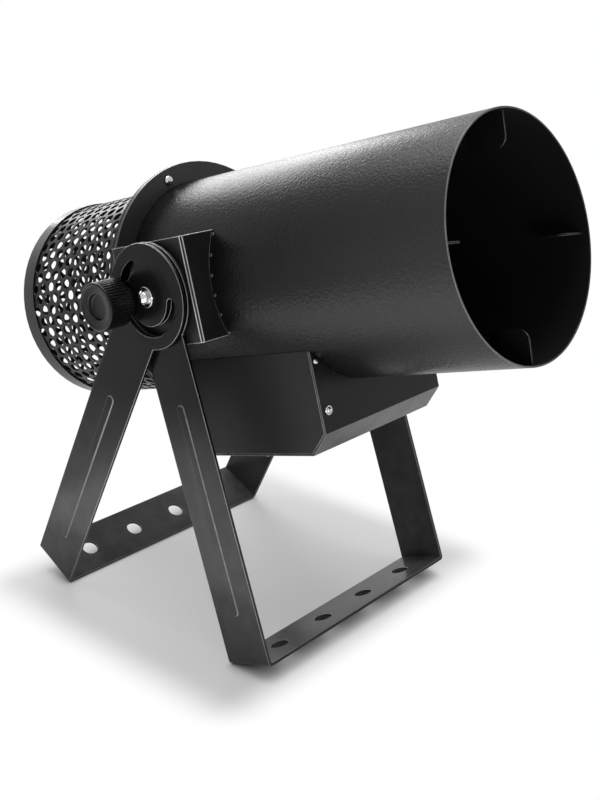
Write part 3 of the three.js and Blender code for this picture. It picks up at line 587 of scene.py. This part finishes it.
# Turns +Z forwards, so that a height in a profile is a reach along the barrel.
alongBarrel = barrelFrame @ Matrix.Rotation(math.radians(90), 4, "X")

# The barrel's skin: rounded lip, textured outside, matte inside
barrel = {
    "outer": 95.0,
    "wall": 1.5,
    "rear": -60.0,
    "front": 280.0,
    "lipRadius": 0.55,
    "lipSteps": 4,
    "steps": 192,
    "insideMargin": 0.1,
    "wallNormal": 0.5,
}


def makeBarrel():
    outer, inner = barrel["outer"], barrel["outer"] - barrel["wall"]
    front, rear, lip = barrel["front"], barrel["rear"], barrel["lipRadius"]
    profile = [(outer, rear), (outer, (front + rear) / 2)]
    turns = [math.pi / 2 * i / barrel["lipSteps"] for i in range(barrel["lipSteps"] + 1)]
    for turn in turns:
        profile.append((outer - lip + lip * math.cos(turn), front - lip + lip * math.sin(turn)))
    for turn in turns:
        profile.append((inner + lip - lip * math.sin(turn), front - lip + lip * math.cos(turn)))
    profile += [(inner, (front + rear) / 2), (inner, rear)]
    mesh = turned("barrel_skin", profile, barrel["steps"], ringShaped=True)
    # Outside, inside and lip: the order that the faces' indices below refer to
    for paint in ("textured_black", "matte_inside", "lip_edge"):
        mesh.materials.append(paints[paint])
    insideLimit = inner + barrel["insideMargin"]
    for face in mesh.polygons:
        radius = math.hypot(face.center.x, face.center.y) / mm
        # The lip's faces take the painted highlight
        if face.center.z > (front - lip) * mm:
            face.material_index = 2
        elif radius < insideLimit and abs(face.normal.z) < barrel["wallNormal"]:
            face.material_index = 1
    addPiece("barrel_skin", mesh, alongBarrel, "barrel", ["barrel_tube"])


makeBarrel()
print("stage: barrel")

# The intake cage: a perforated sheet wrapped round the barrel's axis, and a perforated rear disc.
# In the flat sheet X runs round the cage, Y forwards and Z outwards.
cage = {
    "outer": 94.5,
    "sheet": 1.2,
    "front": -63.6,
    "rear": -222.5,
    "edgeCuts": 112,
    "rows": 56,
    "holesInRow": 11,
    "pitch": 12.45,
    "holeRadius": 4.65,
    "holeSteps": 18,
    "evenMiddle": -137.05,
    "oddMiddle": -143.25,
    "turnMm": -0.67,
    "seamInset": 0.05,
    "discRadius": 93.0,
    "discRows": 17,
    "discHoles": 15,
    "discBorder": 7.0,
    "discSteps": 128,
}


def perforatedTree(name, wrapped):
    lengths = ("Row Pitch", "Pitch", "Even Shift", "Odd Shift", "Keep Within", "Hole Radius")
    lengths += ("Sheet", "Seam Half", "Wrap Radius", "Weld")
    kinds = {"Boundary": "Object", "Rows": "Int", "Holes In Row": "Int", "Hole Steps": "Int"}
    kinds.update({label: "Float" for label in lengths}, Material="Material")
    tree, source = startTree(name, kinds, {"Keep Within": 10.0, "Weld": weldMm * mm})
    lastRow = calc(tree, "SUBTRACT", source["Rows"], 1)
    lastHole = calc(tree, "SUBTRACT", source["Holes In Row"], 1)
    sizeX = calc(tree, "MULTIPLY", source["Row Pitch"], lastRow)
    sizeY = calc(tree, "MULTIPLY", source["Pitch"], lastHole)
    sizes = {"Size X": sizeX, "Size Y": sizeY}
    sizes.update({"Vertices X": source["Rows"], "Vertices Y": source["Holes In Row"]})
    grid = step(tree, "GeometryNodeMeshGrid", None, sizes)
    position = addNode(tree, "GeometryNodeInputPosition").outputs[0]
    x, y, z = separate(tree, position)
    fromFirst = calc(tree, "ADD", x, calc(tree, "DIVIDE", sizeX, 2))
    row = calc(tree, "ROUND", calc(tree, "DIVIDE", fromFirst, source["Row Pitch"]))
    odd = calc(tree, "FLOORED_MODULO", row, 2)
    evenShift = calc(tree, "MULTIPLY", calc(tree, "SUBTRACT", 1, odd), source["Even Shift"])
    oddShift = calc(tree, "MULTIPLY", odd, source["Odd Shift"])
    offset = vector(tree, y=calc(tree, "ADD", evenShift, oddShift))
    lattice = step(tree, "GeometryNodeSetPosition", grid, {"Offset": offset})
    reach = vectorCalc(tree, "LENGTH", position)["Value"]
    tooFar = calc(tree, "GREATER_THAN", reach, source["Keep Within"])
    kept = step(tree, "GeometryNodeDeleteGeometry", lattice, {"Selection": tooFar}, domain="POINT")
    circle = {"Resolution": source["Hole Steps"], "Radius": source["Hole Radius"]}
    ring = step(tree, "GeometryNodeCurvePrimitiveCircle", None, circle)
    rings = step(tree, "GeometryNodeInstanceOnPoints", kept, {"Instance": ring})
    holes = step(tree, "GeometryNodeRealizeInstances", rings)
    edge = step(tree, "GeometryNodeMeshToCurve", objectGeometry(tree, source["Boundary"]))
    flat = step(tree, "GeometryNodeFillCurve", joinAll(tree, edge, holes))
    lift = {"Offset Scale": source["Sheet"], "Individual": False}
    raised = step(tree, "GeometryNodeExtrudeMesh", flat, lift)
    sheet = joinAll(tree, raised, step(tree, "GeometryNodeFlipFaces", flat))
    if wrapped:
        # The walls that meet at the seam go, so that the wrapped sheet closes on itself.
        atSeam = calc(tree, "GREATER_THAN", calc(tree, "ABSOLUTE", x), source["Seam Half"])
        chosen = {"Selection": atSeam}
        sheet = step(tree, "GeometryNodeDeleteGeometry", sheet, chosen, domain="FACE")
        turn = calc(tree, "DIVIDE", x, calc(tree, "MULTIPLY", source["Wrap Radius"], -1))
        inside = calc(tree, "SUBTRACT", source["Wrap Radius"], source["Sheet"])
        radius = calc(tree, "ADD", inside, z)
        bent = vector(
            tree,
            calc(tree, "MULTIPLY", radius, calc(tree, "SINE", turn)),
            calc(tree, "MULTIPLY", y, -1),
            calc(tree, "MULTIPLY", radius, calc(tree, "COSINE", turn)),
        )
        sheet = step(tree, "GeometryNodeSetPosition", sheet, {"Position": bent})
    welded = step(tree, "GeometryNodeMergeByDistance", sheet, {"Distance": source["Weld"]})
    return endTree(tree, welded, source["Material"])


# A closed loop of edges through the corners, each side cut into equal parts.
def loopObject(name, corners, cuts=1):
    points = []
    for i, (x, y) in enumerate(corners):
        nextX, nextY = corners[(i + 1) % len(corners)]
        for j in range(cuts):
            share = j / cuts
            points.append(((x + (nextX - x) * share) * mm, (y + (nextY - y) * share) * mm, 0))
    mesh = bpy.data.meshes.new(name)
    mesh.from_pydata(points, [(i, (i + 1) % len(points)) for i in range(len(points))], [])
    return addObject(name, mesh)


def perforated(name, boundary, wrapped, values):
    mesh = grow(name, perforatedTree(name + "Holes", wrapped), {**values, "Boundary": boundary})
    bpy.data.objects.remove(boundary)
    return smoothByAngle(mesh)


def makeCage():
    around = 2 * math.pi * cage["outer"]
    middle = (cage["front"] + cage["rear"]) / 2
    halfX, halfY = around / 2, (cage["front"] - cage["rear"]) / 2
    corners = [(-halfX, -halfY), (halfX, -halfY), (halfX, halfY), (-halfX, halfY)]
    values = {
        "Rows": cage["rows"],
        "Holes In Row": cage["holesInRow"],
        "Row Pitch": around / cage["rows"] * mm,
        "Pitch": cage["pitch"] * mm,
        "Even Shift": (cage["evenMiddle"] - middle) * mm,
        "Odd Shift": (cage["oddMiddle"] - middle) * mm,
        "Hole Radius": cage["holeRadius"] * mm,
        "Hole Steps": cage["holeSteps"],
        "Sheet": cage["sheet"] * mm,
        "Seam Half": (halfX - cage["seamInset"]) * mm,
        "Wrap Radius": cage["outer"] * mm,
        "Material": paints["satin_black"],
    }
    boundary = loopObject("cageOutline", corners, cage["edgeCuts"])
    mesh = perforated("cage_wrap", boundary, True, values)
    place = barrelFrame @ Matrix.Translation((0, -middle * mm, 0))
    place = place @ Matrix.Rotation(cage["turnMm"] / cage["outer"], 4, "Y")
    addPiece("cage_wrap", mesh, place, "barrel", ["cage_sheet"])

    radius = cage["discRadius"]
    values.update(
        {
            "Rows": cage["discRows"],
            "Holes In Row": cage["discHoles"],
            "Even Shift": 0.0,
            "Odd Shift": cage["pitch"] / 2 * mm,
            "Keep Within": (radius - cage["discBorder"]) * mm,
        }
    )
    boundary = loopObject("discOutline", aroundCircle(radius, cage["discSteps"]))
    mesh = perforated("cage_disc", boundary, False, values)
    place = alongBarrel @ Matrix.Translation((0, 0, cage["rear"] * mm))
    addPiece("cage_disc", mesh, place, "barrel", ["cage_end_disc"])


makeCage()
print("stage: cage")

# Clamp knobs: a turned body with ribs round its rim
knob = {
    "face": 128.7,
    "behind": 29.0,
    "bore": ((0, 16.3), (4.3, 16.3), (4.3, 0)),
    "neck": ((14.2, 0), (15, 0.8), (15, 3.6), (15.6, 4.2), (18.4, 4.2), (19.2, 5.0)),
    "rim": ((19.2, 24.6), (19.9, 25.0), (20.1, 25.6), (19.9, 26.4), (19.2, 27.0), (18.5, 27.2)),
    "ledge": ((17.9, 27.0), (17.5, 26.4), (17.0, 26.1), (11.8, 26.1), (11.2, 25.8)),
    "cup": ((10.8, 25.0), (10.5, 23.2), (9.9, 22.4), (9.0, 22.1), (0, 22.1)),
    "steps": 96,
    "ribs": 48,
    "ribCentre": 19.35,
    "ribRadius": 0.85,
    "ribFrom": 4.6,
    "ribTo": 24.9,
    "ribSides": 8,
    "smoothDeg": 50,
}


def ribbedTree():
    kinds = {"Body": "Object", "Ribs": "Int", "Rib Circle": "Float", "Rib Radius": "Float"}
    kinds.update({"Rib Sides": "Int", "Rib From": "Float", "Rib To": "Float"})
    tree, source = startTree("ribbedRim", {**kinds, "Material": "Material"})
    length = calc(tree, "SUBTRACT", source["Rib To"], source["Rib From"])
    rod = {"Vertices": source["Rib Sides"], "Radius": source["Rib Radius"], "Depth": length}
    rib = step(tree, "GeometryNodeMeshCylinder", None, rod)
    height = calc(tree, "ADD", source["Rib From"], calc(tree, "DIVIDE", length, 2))
    rib = step(tree, "GeometryNodeTransform", rib, {"Translation": vector(tree, z=height)})
    circle = {"Vertices": source["Ribs"], "Radius": source["Rib Circle"]}
    spots = step(tree, "GeometryNodeMeshCircle", None, circle)
    ribs = step(tree, "GeometryNodeInstanceOnPoints", spots, {"Instance": rib})
    body = objectGeometry(tree, source["Body"])
    return endTree(tree, joinAll(tree, body, ribs), source["Material"])


def makeKnobs():
    tree = ribbedTree()
    profile = knob["bore"] + knob["neck"] + knob["rim"] + knob["ledge"] + knob["cup"]
    body = addObject("knobBody", turned("knobBody", profile, knob["steps"]))
    values = {
        "Body": body,
        "Ribs": knob["ribs"],
        "Rib Circle": knob["ribCentre"] * mm,
        "Rib Radius": knob["ribRadius"] * mm,
        "Rib Sides": knob["ribSides"],
        "Rib From": knob["ribFrom"] * mm,
        "Rib To": knob["ribTo"] * mm,
        "Material": paints["moulded_black"],
    }
    for side, sign in sides:
        mesh = smoothByAngle(grow("knob_" + side, tree, values), knob["smoothDeg"])
        spot = (sign * knob["face"] * mm, knob["behind"] * mm, 0)
        place = blowerFrame @ Matrix.Translation(spot) @ Matrix.Rotation(sign * math.pi / 2, 4, "Y")
        node = "clamp_knob_" + side
        addPiece("knob_" + side, mesh, place, node, [node])
    bpy.data.objects.remove(body)


makeKnobs()
print("stage: knobs")


# Stamps on points: screws, weld spots, pins and latches. A point's "turn" turns the stamp.
def stampTree():
    kinds = {"Points": "Geometry", "Stamp": "Object", "Material": "Material"}
    tree, source = startTree("stampField", kinds)
    name = {"Name": "turn"}
    turn = addNode(tree, "GeometryNodeInputNamedAttribute", name, data_type="FLOAT_VECTOR")
    rotation = addNode(tree, "FunctionNodeEulerToRotation", {0: turn.outputs[0]})
    inputs = {"Instance": objectGeometry(tree, source["Stamp"]), "Rotation": rotation.outputs[0]}
    stamped = step(tree, "GeometryNodeInstanceOnPoints", source["Points"], inputs)
    return endTree(tree, stamped, source["Material"])


stamping = stampTree()


# Stamps a mesh on each place, a matrix in the part's frame, and makes the barrel's piece of them.
# The paint is the slot's own one unless another is named.
def stampPiece(name, stamp, places, slot, replaced=(), smooth=smoothDeg, paint=None):
    mesh = bpy.data.meshes.new(name)
    mesh.from_pydata([place.translation for place in places], [], [])
    turns = mesh.attributes.new("turn", "FLOAT_VECTOR", "POINT")
    for i, place in enumerate(places):
        turns.data[i].vector = place.to_euler("XYZ")
    helper = addObject(name + "Stamp", stamp)
    values = {"Stamp": helper, "Material": paints[paint or slotPaints[slot]]}
    grown = smoothByAngle(grow(name, stamping, values, mesh), smooth)
    bpy.data.objects.remove(helper)
    addPiece(name, grown, Matrix(), "barrel", replaced)


# A place in the blower's own frame: across, reach forwards and height from the pivot, with the
# stamp's +Z turned to the given way.
def blowerSpot(x, reach, z, towards="front"):
    degrees = {"front": 90, "back": -90, "down": 180, "up": 0}[towards]
    place = blowerFrame @ Matrix.Translation((x * mm, -reach * mm, z * mm))
    return place @ Matrix.Rotation(math.radians(degrees), 4, "X")


# The rim of a cross recess: four arms with flanks between them
def crossRim(settings):
    def radius(turn):
        local = abs((turn + math.pi / 4) % (math.pi / 2) - math.pi / 4)
        flank = settings["crossHalf"] / max(math.sin(local), tiny)
        return min(settings["crossArm"] / math.cos(local), flank)

    return radius


def hexRim(settings):
    return lambda turn: settings["hexInner"] / math.cos(
        (turn + math.pi / 6) % (math.pi / 3) - math.pi / 6
    )


# A domed head over its shank, some on a collar, with a recess whose rim follows the given
# function.
def domedScrew(name, settings, rim=None):
    head, height, skirt = settings["head"], settings["height"], settings["skirt"]
    shank, end = settings["shank"], -settings["shankLength"]
    profile = [(0, end), (shank, end), (shank, 0), *settings.get("collar", [(head, 0)])]
    hollow = settings["recess"] / head if rim else 0.0
    for i in range(settings["rounds"] + 1):
        turn = math.acos(1 - (1 - hollow) * i / settings["rounds"])
        profile.append((head * math.cos(turn), skirt + (height - skirt) * math.sin(turn)))
    if rim:
        top = profile[-1][1]
        floor = top - settings["recessDepth"]
        profile += [(rim(settings), top - settings["rimDrop"]), (rim(settings), floor), (0, floor)]
    else:
        profile[-1] = (0, height)
    return turned(name, profile, settings["steps"])


flangeScrews = {
    "circle": 103.0,
    "count": 6,
    "firstDeg": 106.4,
    "seat": -56.7,
    "head": 4.4,
    "height": 2.8,
    "skirt": 0.56,
    "rounds": 6,
    "shank": 2.5,
    "shankLength": 10.6,
    "steps": 24,
    "recess": 1.15,
    "recessDepth": 0.5,
    "rimDrop": 0.05,
    "hexInner": 0.85,
}
housingScrews = {
    "across": 68.0,
    "frontFace": 118.3,
    "frontBelow": 113.0,
    "bottomAhead": 40.0,
    "bottom": 148.6,
    "collar": ((3.9, 0), (3.9, 0.48), (3.6, 0.8), (2.95, 0.8), (2.8, 0.28)),
    "head": 2.55,
    "height": 2.4,
    "skirt": 0.28,
    "rounds": 6,
    "shank": 2.0,
    "shankLength": 5.0,
    "steps": 32,
    "recess": 0.9,
    "recessDepth": 0.4,
    "rimDrop": 0.05,
    "crossArm": 0.85,
    "crossHalf": 0.20,
}
cornerScrews = {
    "across": 71.6,
    "below": 72.6,
    "head": 2.4,
    "height": 1.9,
    "skirt": 0.475,
    "rounds": 6,
    "shank": 1.4,
    "shankLength": 1.4,
    "steps": 24,
}


def makeScrews():
    count, first = flangeScrews["count"], math.radians(flangeScrews["firstDeg"])
    seat, drop = flangeScrews["seat"], stand["axisDrop"]
    circle = aroundCircle(flangeScrews["circle"], count, first)
    places = [blowerSpot(x, seat, z - drop) for x, z in circle]
    names = ["flange_screw_%d" % (i + 1) for i in range(count)]
    stamp = domedScrew("flangeScrew", flangeScrews, hexRim)
    stampPiece("flange_screws", stamp, places, "chrome", names)

    face, below = housingScrews["frontFace"], -housingScrews["frontBelow"]
    ahead, bottom = housingScrews["bottomAhead"], -housingScrews["bottom"]
    places = [blowerSpot(sign * housingScrews["across"], face, below) for side, sign in sides]
    for side, sign in sides:
        places.append(blowerSpot(sign * housingScrews["across"], ahead, bottom, "down"))
    names = ["housing_screw_%d" % (i + 1) for i in range(len(places))]
    stamp = domedScrew("housingScrew", housingScrews, crossRim)
    stampPiece("housing_screws", stamp, places, "chrome", names)

    across, below = cornerScrews["across"], -cornerScrews["below"]
    places = [blowerSpot(sign * across, face, below) for side, sign in sides]
    stampPiece("corner_screws", domedScrew("cornerScrew", cornerScrews), places, "chrome")


makeScrews()

# Pivot bolts: a hexagonal nut inside, a shank, and outside a collar round a dome. The collar's
# heights and the dome's are from the outer face.
pivotBolt = {
    "hexInner": 7.395,
    "nutFrom": 107.2,
    "nutTo": 113.2,
    "shank": 5.0,
    "face": 126.8,
    "collar": ((8.7, 0), (8.7, 0.72), (8.4, 1.08), (7.9, 1.2), (7.2, 1.08), (6.3, 0.36), (5.2, 0.36)),
    "dome": 5.2,
    "domeFrom": 1.2,
    "domeTo": 6.0,
    "rounds": 7,
    "steps": 40,
}


def makeBolts():
    nut, shank, face = hexRim(pivotBolt), pivotBolt["shank"], pivotBolt["face"]
    start, end = pivotBolt["nutFrom"], pivotBolt["nutTo"]
    profile = [(0, start), (nut, start), (nut, end), (shank, end), (shank, face)]
    profile += [(radius, face + height) for radius, height in pivotBolt["collar"]]
    for i in range(1, pivotBolt["rounds"]):
        turn = math.pi / 2 * i / pivotBolt["rounds"]
        rise = (pivotBolt["domeTo"] - pivotBolt["domeFrom"]) * math.sin(turn)
        profile.append((pivotBolt["dome"] * math.cos(turn), face + pivotBolt["domeFrom"] + rise))
    profile.append((0, face + pivotBolt["domeTo"]))
    for side, sign in sides:
        mesh = turned("bolt_" + side, profile, pivotBolt["steps"])
        mesh.materials.append(paints["chrome_plate"])
        place = Matrix.Translation(pivotPoint) @ Matrix.Rotation(sign * math.pi / 2, 4, "Y")
        addPiece("bolt_" + side, mesh, place, "rear_yoke", ["pivot_bolt_" + side])


makeBolts()
print("stage: screws")

# Weld spots where the side brackets' front webs meet the barrel
welds = {
    "reach": 46.2,
    "top": 39.0,
    "bottom": -41.0,
    "count": 6,
    "radius": 1.5,
    "flat": 0.45,
    "profileDeg": (-60, -30, 0, 30, 60),
    "steps": 14,
    "smoothDeg": 70,
}


def makeWelds():
    radius, height = welds["radius"], welds["radius"] * welds["flat"]
    turns = [math.radians(degrees) for degrees in welds["profileDeg"]]
    rounds = [(radius * math.cos(turn), height * math.sin(turn)) for turn in turns]
    stamp = turned("weldSpot", [(0, -height), *rounds, (0, height)], welds["steps"])
    places = []
    for side, sign in sides:
        for i in range(welds["count"]):
            z = welds["top"] + (welds["bottom"] - welds["top"]) * i / (welds["count"] - 1)
            up = z + stand["axisDrop"]
            x = math.sqrt(barrel["outer"] ** 2 - up**2)
            turn = Matrix.Rotation(math.atan2(sign * x, up), 4, "Y")
            places.append(blowerSpot(sign * x, welds["reach"], z, "up") @ turn)
    smooth = welds["smoothDeg"]
    stampPiece("weld_spots", stamp, places, "black_texture", smooth=smooth, paint="weld_bead")


makeWelds()
print("stage: welds")

# Rear connectors: inserts and contacts in the two signal sockets and a latch on the output one,
# blades in the power inlet, and the screws of their flanges
sockets = {
    "inAcross": -58.0,
    "outAcross": -26.0,
    "below": 131.0,
    "face": -54.3,
    "floor": -40.6,
    "pinCount": 5,
    "pinCircle": 4.9,
    "pin": ((0, -0.5), (0.95, -0.5), (0.95, 8.2), (0.7, 8.8), (0.35, 9.0), (0, 9.0)),
    "pinSteps": 16,
    "insert": ((0, 0), (9.2, 0), (9.2, 1.3), (8.8, 1.7), (2.2, 1.7), (1.9, 1.4), (0, 1.4)),
    "core": ((0, 0), (7.8, 0), (7.8, 9.6), (7.2, 10.2), (0, 10.2)),
    "bodySteps": 40,
    "ring": ((1.0, 9.4), (1.6, 9.4), (1.6, 10.4), (1.35, 10.6), (1.0, 10.6)),
    "ringSteps": 20,
    "latch": ((0, -0.4), (4.4, -0.4), (4.4, 1.1), (3.6, 1.8), (0, 1.8)),
    "latchUp": 12.4,
    "latchShape": (1.0, 0.46),
    "screwOffsets": ((-9.8, 12.0), (9.8, -12.0)),
}
inlet = {
    "across": 40.0,
    "below": 132.8,
    "face": -54.8,
    "floor": -39.8,
    "blade": ((0, -0.5), (2.0, -0.5), (2.0, 10.2), (1.5, 11.0), (0, 11.0)),
    "bladeShape": (0.5, 1.35),
    "bladeOffsets": ((-6.2, -1.6), (6.2, -1.6), (0, 2.6)),
    "screwOffsets": ((-20.0, 0), (20.0, 0)),
}
panelScrews = {
    "head": 2.1,
    "height": 1.1,
    "skirt": 0.22,
    "rounds": 4,
    "shank": 1.2,
    "shankLength": 1.0,
    "steps": 20,
    "recess": 1.2,
    "recessDepth": 0.5,
    "rimDrop": 0.05,
    "crossArm": 1.1,
    "crossHalf": 0.26,
}
barSmoothDeg = 20


# A turned shape with four sides, squared up and stretched: a bar with chamfered corners
def squared(name, profile, shape):
    mesh = turned(name, profile, 4)
    mesh.transform(Matrix.Rotation(math.pi / 4, 4, "Z"))
    mesh.transform(Matrix.Diagonal((*shape, 1, 1)))
    return smoothByAngle(mesh, barSmoothDeg)


def backSpots(across, reach, up, offsets=((0, 0),)):
    return [blowerSpot(across + x, reach, up + z, "back") for x, z in offsets]


def makeConnectors():
    inAcross, outAcross = sockets["inAcross"], sockets["outAcross"]
    low, floor, face = -sockets["below"], sockets["floor"], sockets["face"]
    count, steps = sockets["pinCount"], sockets["bodySteps"]
    circle = aroundCircle(sockets["pinCircle"], count, math.pi / count)
    offsets = [(x, z) for z, x in circle]
    insert = turned("socketInsert", sockets["insert"], steps)
    places = backSpots(inAcross, floor, low)
    stampPiece("input_insert", insert, places, "black_plastic")
    pin = turned("contactPin", sockets["pin"], sockets["pinSteps"])
    places = backSpots(inAcross, floor, low, offsets)
    stampPiece("input_pins", pin, places, "zinc")
    core = turned("socketCore", sockets["core"], steps)
    places = backSpots(outAcross, floor, low)
    stampPiece("output_core", core, places, "black_plastic")
    ring = turned("contactRing", sockets["ring"], sockets["ringSteps"], ringShaped=True)
    places = backSpots(outAcross, floor, low, offsets)
    stampPiece("output_contacts", ring, places, "zinc")
    latch = squared("latch", sockets["latch"], sockets["latchShape"])
    places = backSpots(outAcross, face, low + sockets["latchUp"])
    stampPiece("output_latch", latch, places, "zinc", smooth=barSmoothDeg)

    middle, height = inlet["across"], -inlet["below"]
    blade = squared("blade", inlet["blade"], inlet["bladeShape"])
    places = backSpots(middle, inlet["floor"], height, inlet["bladeOffsets"])
    stampPiece("inlet_blades", blade, places, "zinc", smooth=barSmoothDeg)
    places = backSpots(inAcross, face, low, sockets["screwOffsets"])
    places += backSpots(outAcross, face, low, sockets["screwOffsets"])
    places += backSpots(middle, inlet["face"], height, inlet["screwOffsets"])
    screw = domedScrew("panelScrew", panelScrews, crossRim)
    stampPiece("panel_screws", screw, places, "zinc")


makeConnectors()
print("stage: rear connectors")

# Floor, world and lamps, in metres and watts
studio = {
    "floorSize": 9.0,
    "floorColour": 0.84,
    "shadeColour": 0.5,
    "floorLift": 0.34,
    # The patch of painted shade under the stand, then the painted contact shadow under close parts
    "shadedCentre": (0.003, 0.055, 0.0),
    "shadedHalf": (0.153, 0.135, 1.0),
    "shadedFade": (0.0, 0.05),
    "contactReach": 0.02,
    "contactSamples": 16,
    "contactOpening": (0.12, 0.78),
    "contactShadowLevel": 0.006,
    "worldLight": 0.12,
    "lampAim": (0.0, 0.0, 0.25),
}
lamps = {
    "top": {"place": (0.10, 0.28, 1.5), "size": (1.05, 1.05), "power": 16.0},
    "back": {"place": (0.85, 1.45, 0.95), "size": (1.0, 0.7), "power": 11.0},
    "low": {"place": (-1.05, -1.15, 0.16), "size": (0.25, 0.25), "power": 2.2},
    "side": {"place": (-1.37, 0.62, 0.30), "size": (0.3, 0.5), "power": 0.5},
    "glow": {
        "place": (-0.75, -0.34, 0.01),
        "size": (0.7, 1.1),
        "power": 3.6,
        "aim": (-0.75, -0.34, 1.0),
    },
    "near": {
        "place": (-0.34, 0.02, 0.012),
        "size": (0.3, 0.6),
        "power": 0.9,
        "aim": (-0.34, 0.02, 1.0),
    },
}


# Rays that should meet the plain white background: seen, mirrored or let through
def backgroundRay(tree):
    path = addNode(tree, "ShaderNodeLightPath")
    seen = calc(tree, "MAXIMUM", path.outputs["Is Camera Ray"], path.outputs["Is Glossy Ray"])
    return calc(tree, "MAXIMUM", seen, path.outputs["Is Transmission Ray"])


def diffuse(tree, level):
    return addNode(tree, "ShaderNodeBsdfDiffuse", {"Color": grey(level)}).outputs[0]


def emission(tree, strength):
    return addNode(tree, "ShaderNodeEmission", {"Strength": strength}).outputs[0]


# For the rays of the background the floor is white, with a soft grey patch of painted shade under the
# stand, in which the floor's own shading shows, and a painted contact shadow where something is close
# above it. All other rays meet a plain light grey.
def makeFloor():
    half = studio["floorSize"] / 2
    mesh = bpy.data.meshes.new("floor")
    corners = [(-half, -half, 0), (half, -half, 0), (half, half, 0), (-half, half, 0)]
    mesh.from_pydata(corners, [], [(0, 1, 2, 3)])
    material, tree = emptyMaterial("floor_white")
    place = addNode(tree, "ShaderNodeTexCoord").outputs["Object"]
    away = vectorCalc(tree, "SUBTRACT", place, studio["shadedCentre"])["Vector"]
    away = vectorCalc(tree, "ABSOLUTE", away)["Vector"]
    away = vectorCalc(tree, "SUBTRACT", away, studio["shadedHalf"])["Vector"]
    away = vectorCalc(tree, "MAXIMUM", away, (0, 0, 0))["Vector"]
    reach = vectorCalc(tree, "LENGTH", away)["Value"]
    beyond = ramp(tree, reach, 0.0, 1.0, *studio["shadedFade"], interpolation_type="SMOOTHSTEP")
    patch = {0: diffuse(tree, studio["shadeColour"]), 1: emission(tree, studio["floorLift"])}
    patch = addNode(tree, "ShaderNodeAddShader", patch).outputs[0]
    seen = mixShaders(tree, beyond, patch, emission(tree, 1.0))
    # Painted contact shadow: near black where ambient occlusion finds something close above
    hollow = addNode(
        tree,
        "ShaderNodeAmbientOcclusion",
        {"Distance": studio["contactReach"]},
        samples=studio["contactSamples"],
    )
    opening = ramp(tree, hollow.outputs["AO"], 0.0, 1.0, *studio["contactOpening"])
    seen = mixShaders(tree, opening, emission(tree, studio["contactShadowLevel"]), seen)
    plain = diffuse(tree, studio["floorColour"])
    surface = mixShaders(tree, backgroundRay(tree), plain, seen)
    addNode(tree, "ShaderNodeOutputMaterial", {"Surface": surface})
    mesh.materials.append(material)
    addObject("floor", mesh)


def makeWorld():
    world = bpy.data.worlds.new("world")
    scene.world = world
    world.use_nodes = True
    tree = world.node_tree
    tree.nodes.clear()
    light = {"Color": grey(1), "Strength": studio["worldLight"]}
    soft = addNode(tree, "ShaderNodeBackground", light).outputs[0]
    white = addNode(tree, "ShaderNodeBackground", {**light, "Strength": 1.0}).outputs[0]
    surface = mixShaders(tree, backgroundRay(tree), soft, white)
    addNode(tree, "ShaderNodeOutputWorld", {"Surface": surface})


def makeLamps():
    for name, lamp in lamps.items():
        data = bpy.data.lights.new(name, "AREA")
        data.shape = "RECTANGLE"
        data.size, data.size_y = lamp["size"]
        data.energy = lamp["power"]
        light = addObject(name, data)
        light.visible_camera = False
        place = Vector(lamp["place"])
        aim = Vector(lamp.get("aim", studio["lampAim"])) - place
        turn = aim.to_track_quat("-Z", "Y").to_matrix().to_4x4()
        light.matrix_world = Matrix.Translation(place) @ turn


makeFloor()
makeWorld()
makeLamps()
scene.view_settings.view_transform = "Standard"
print("stage: studio")
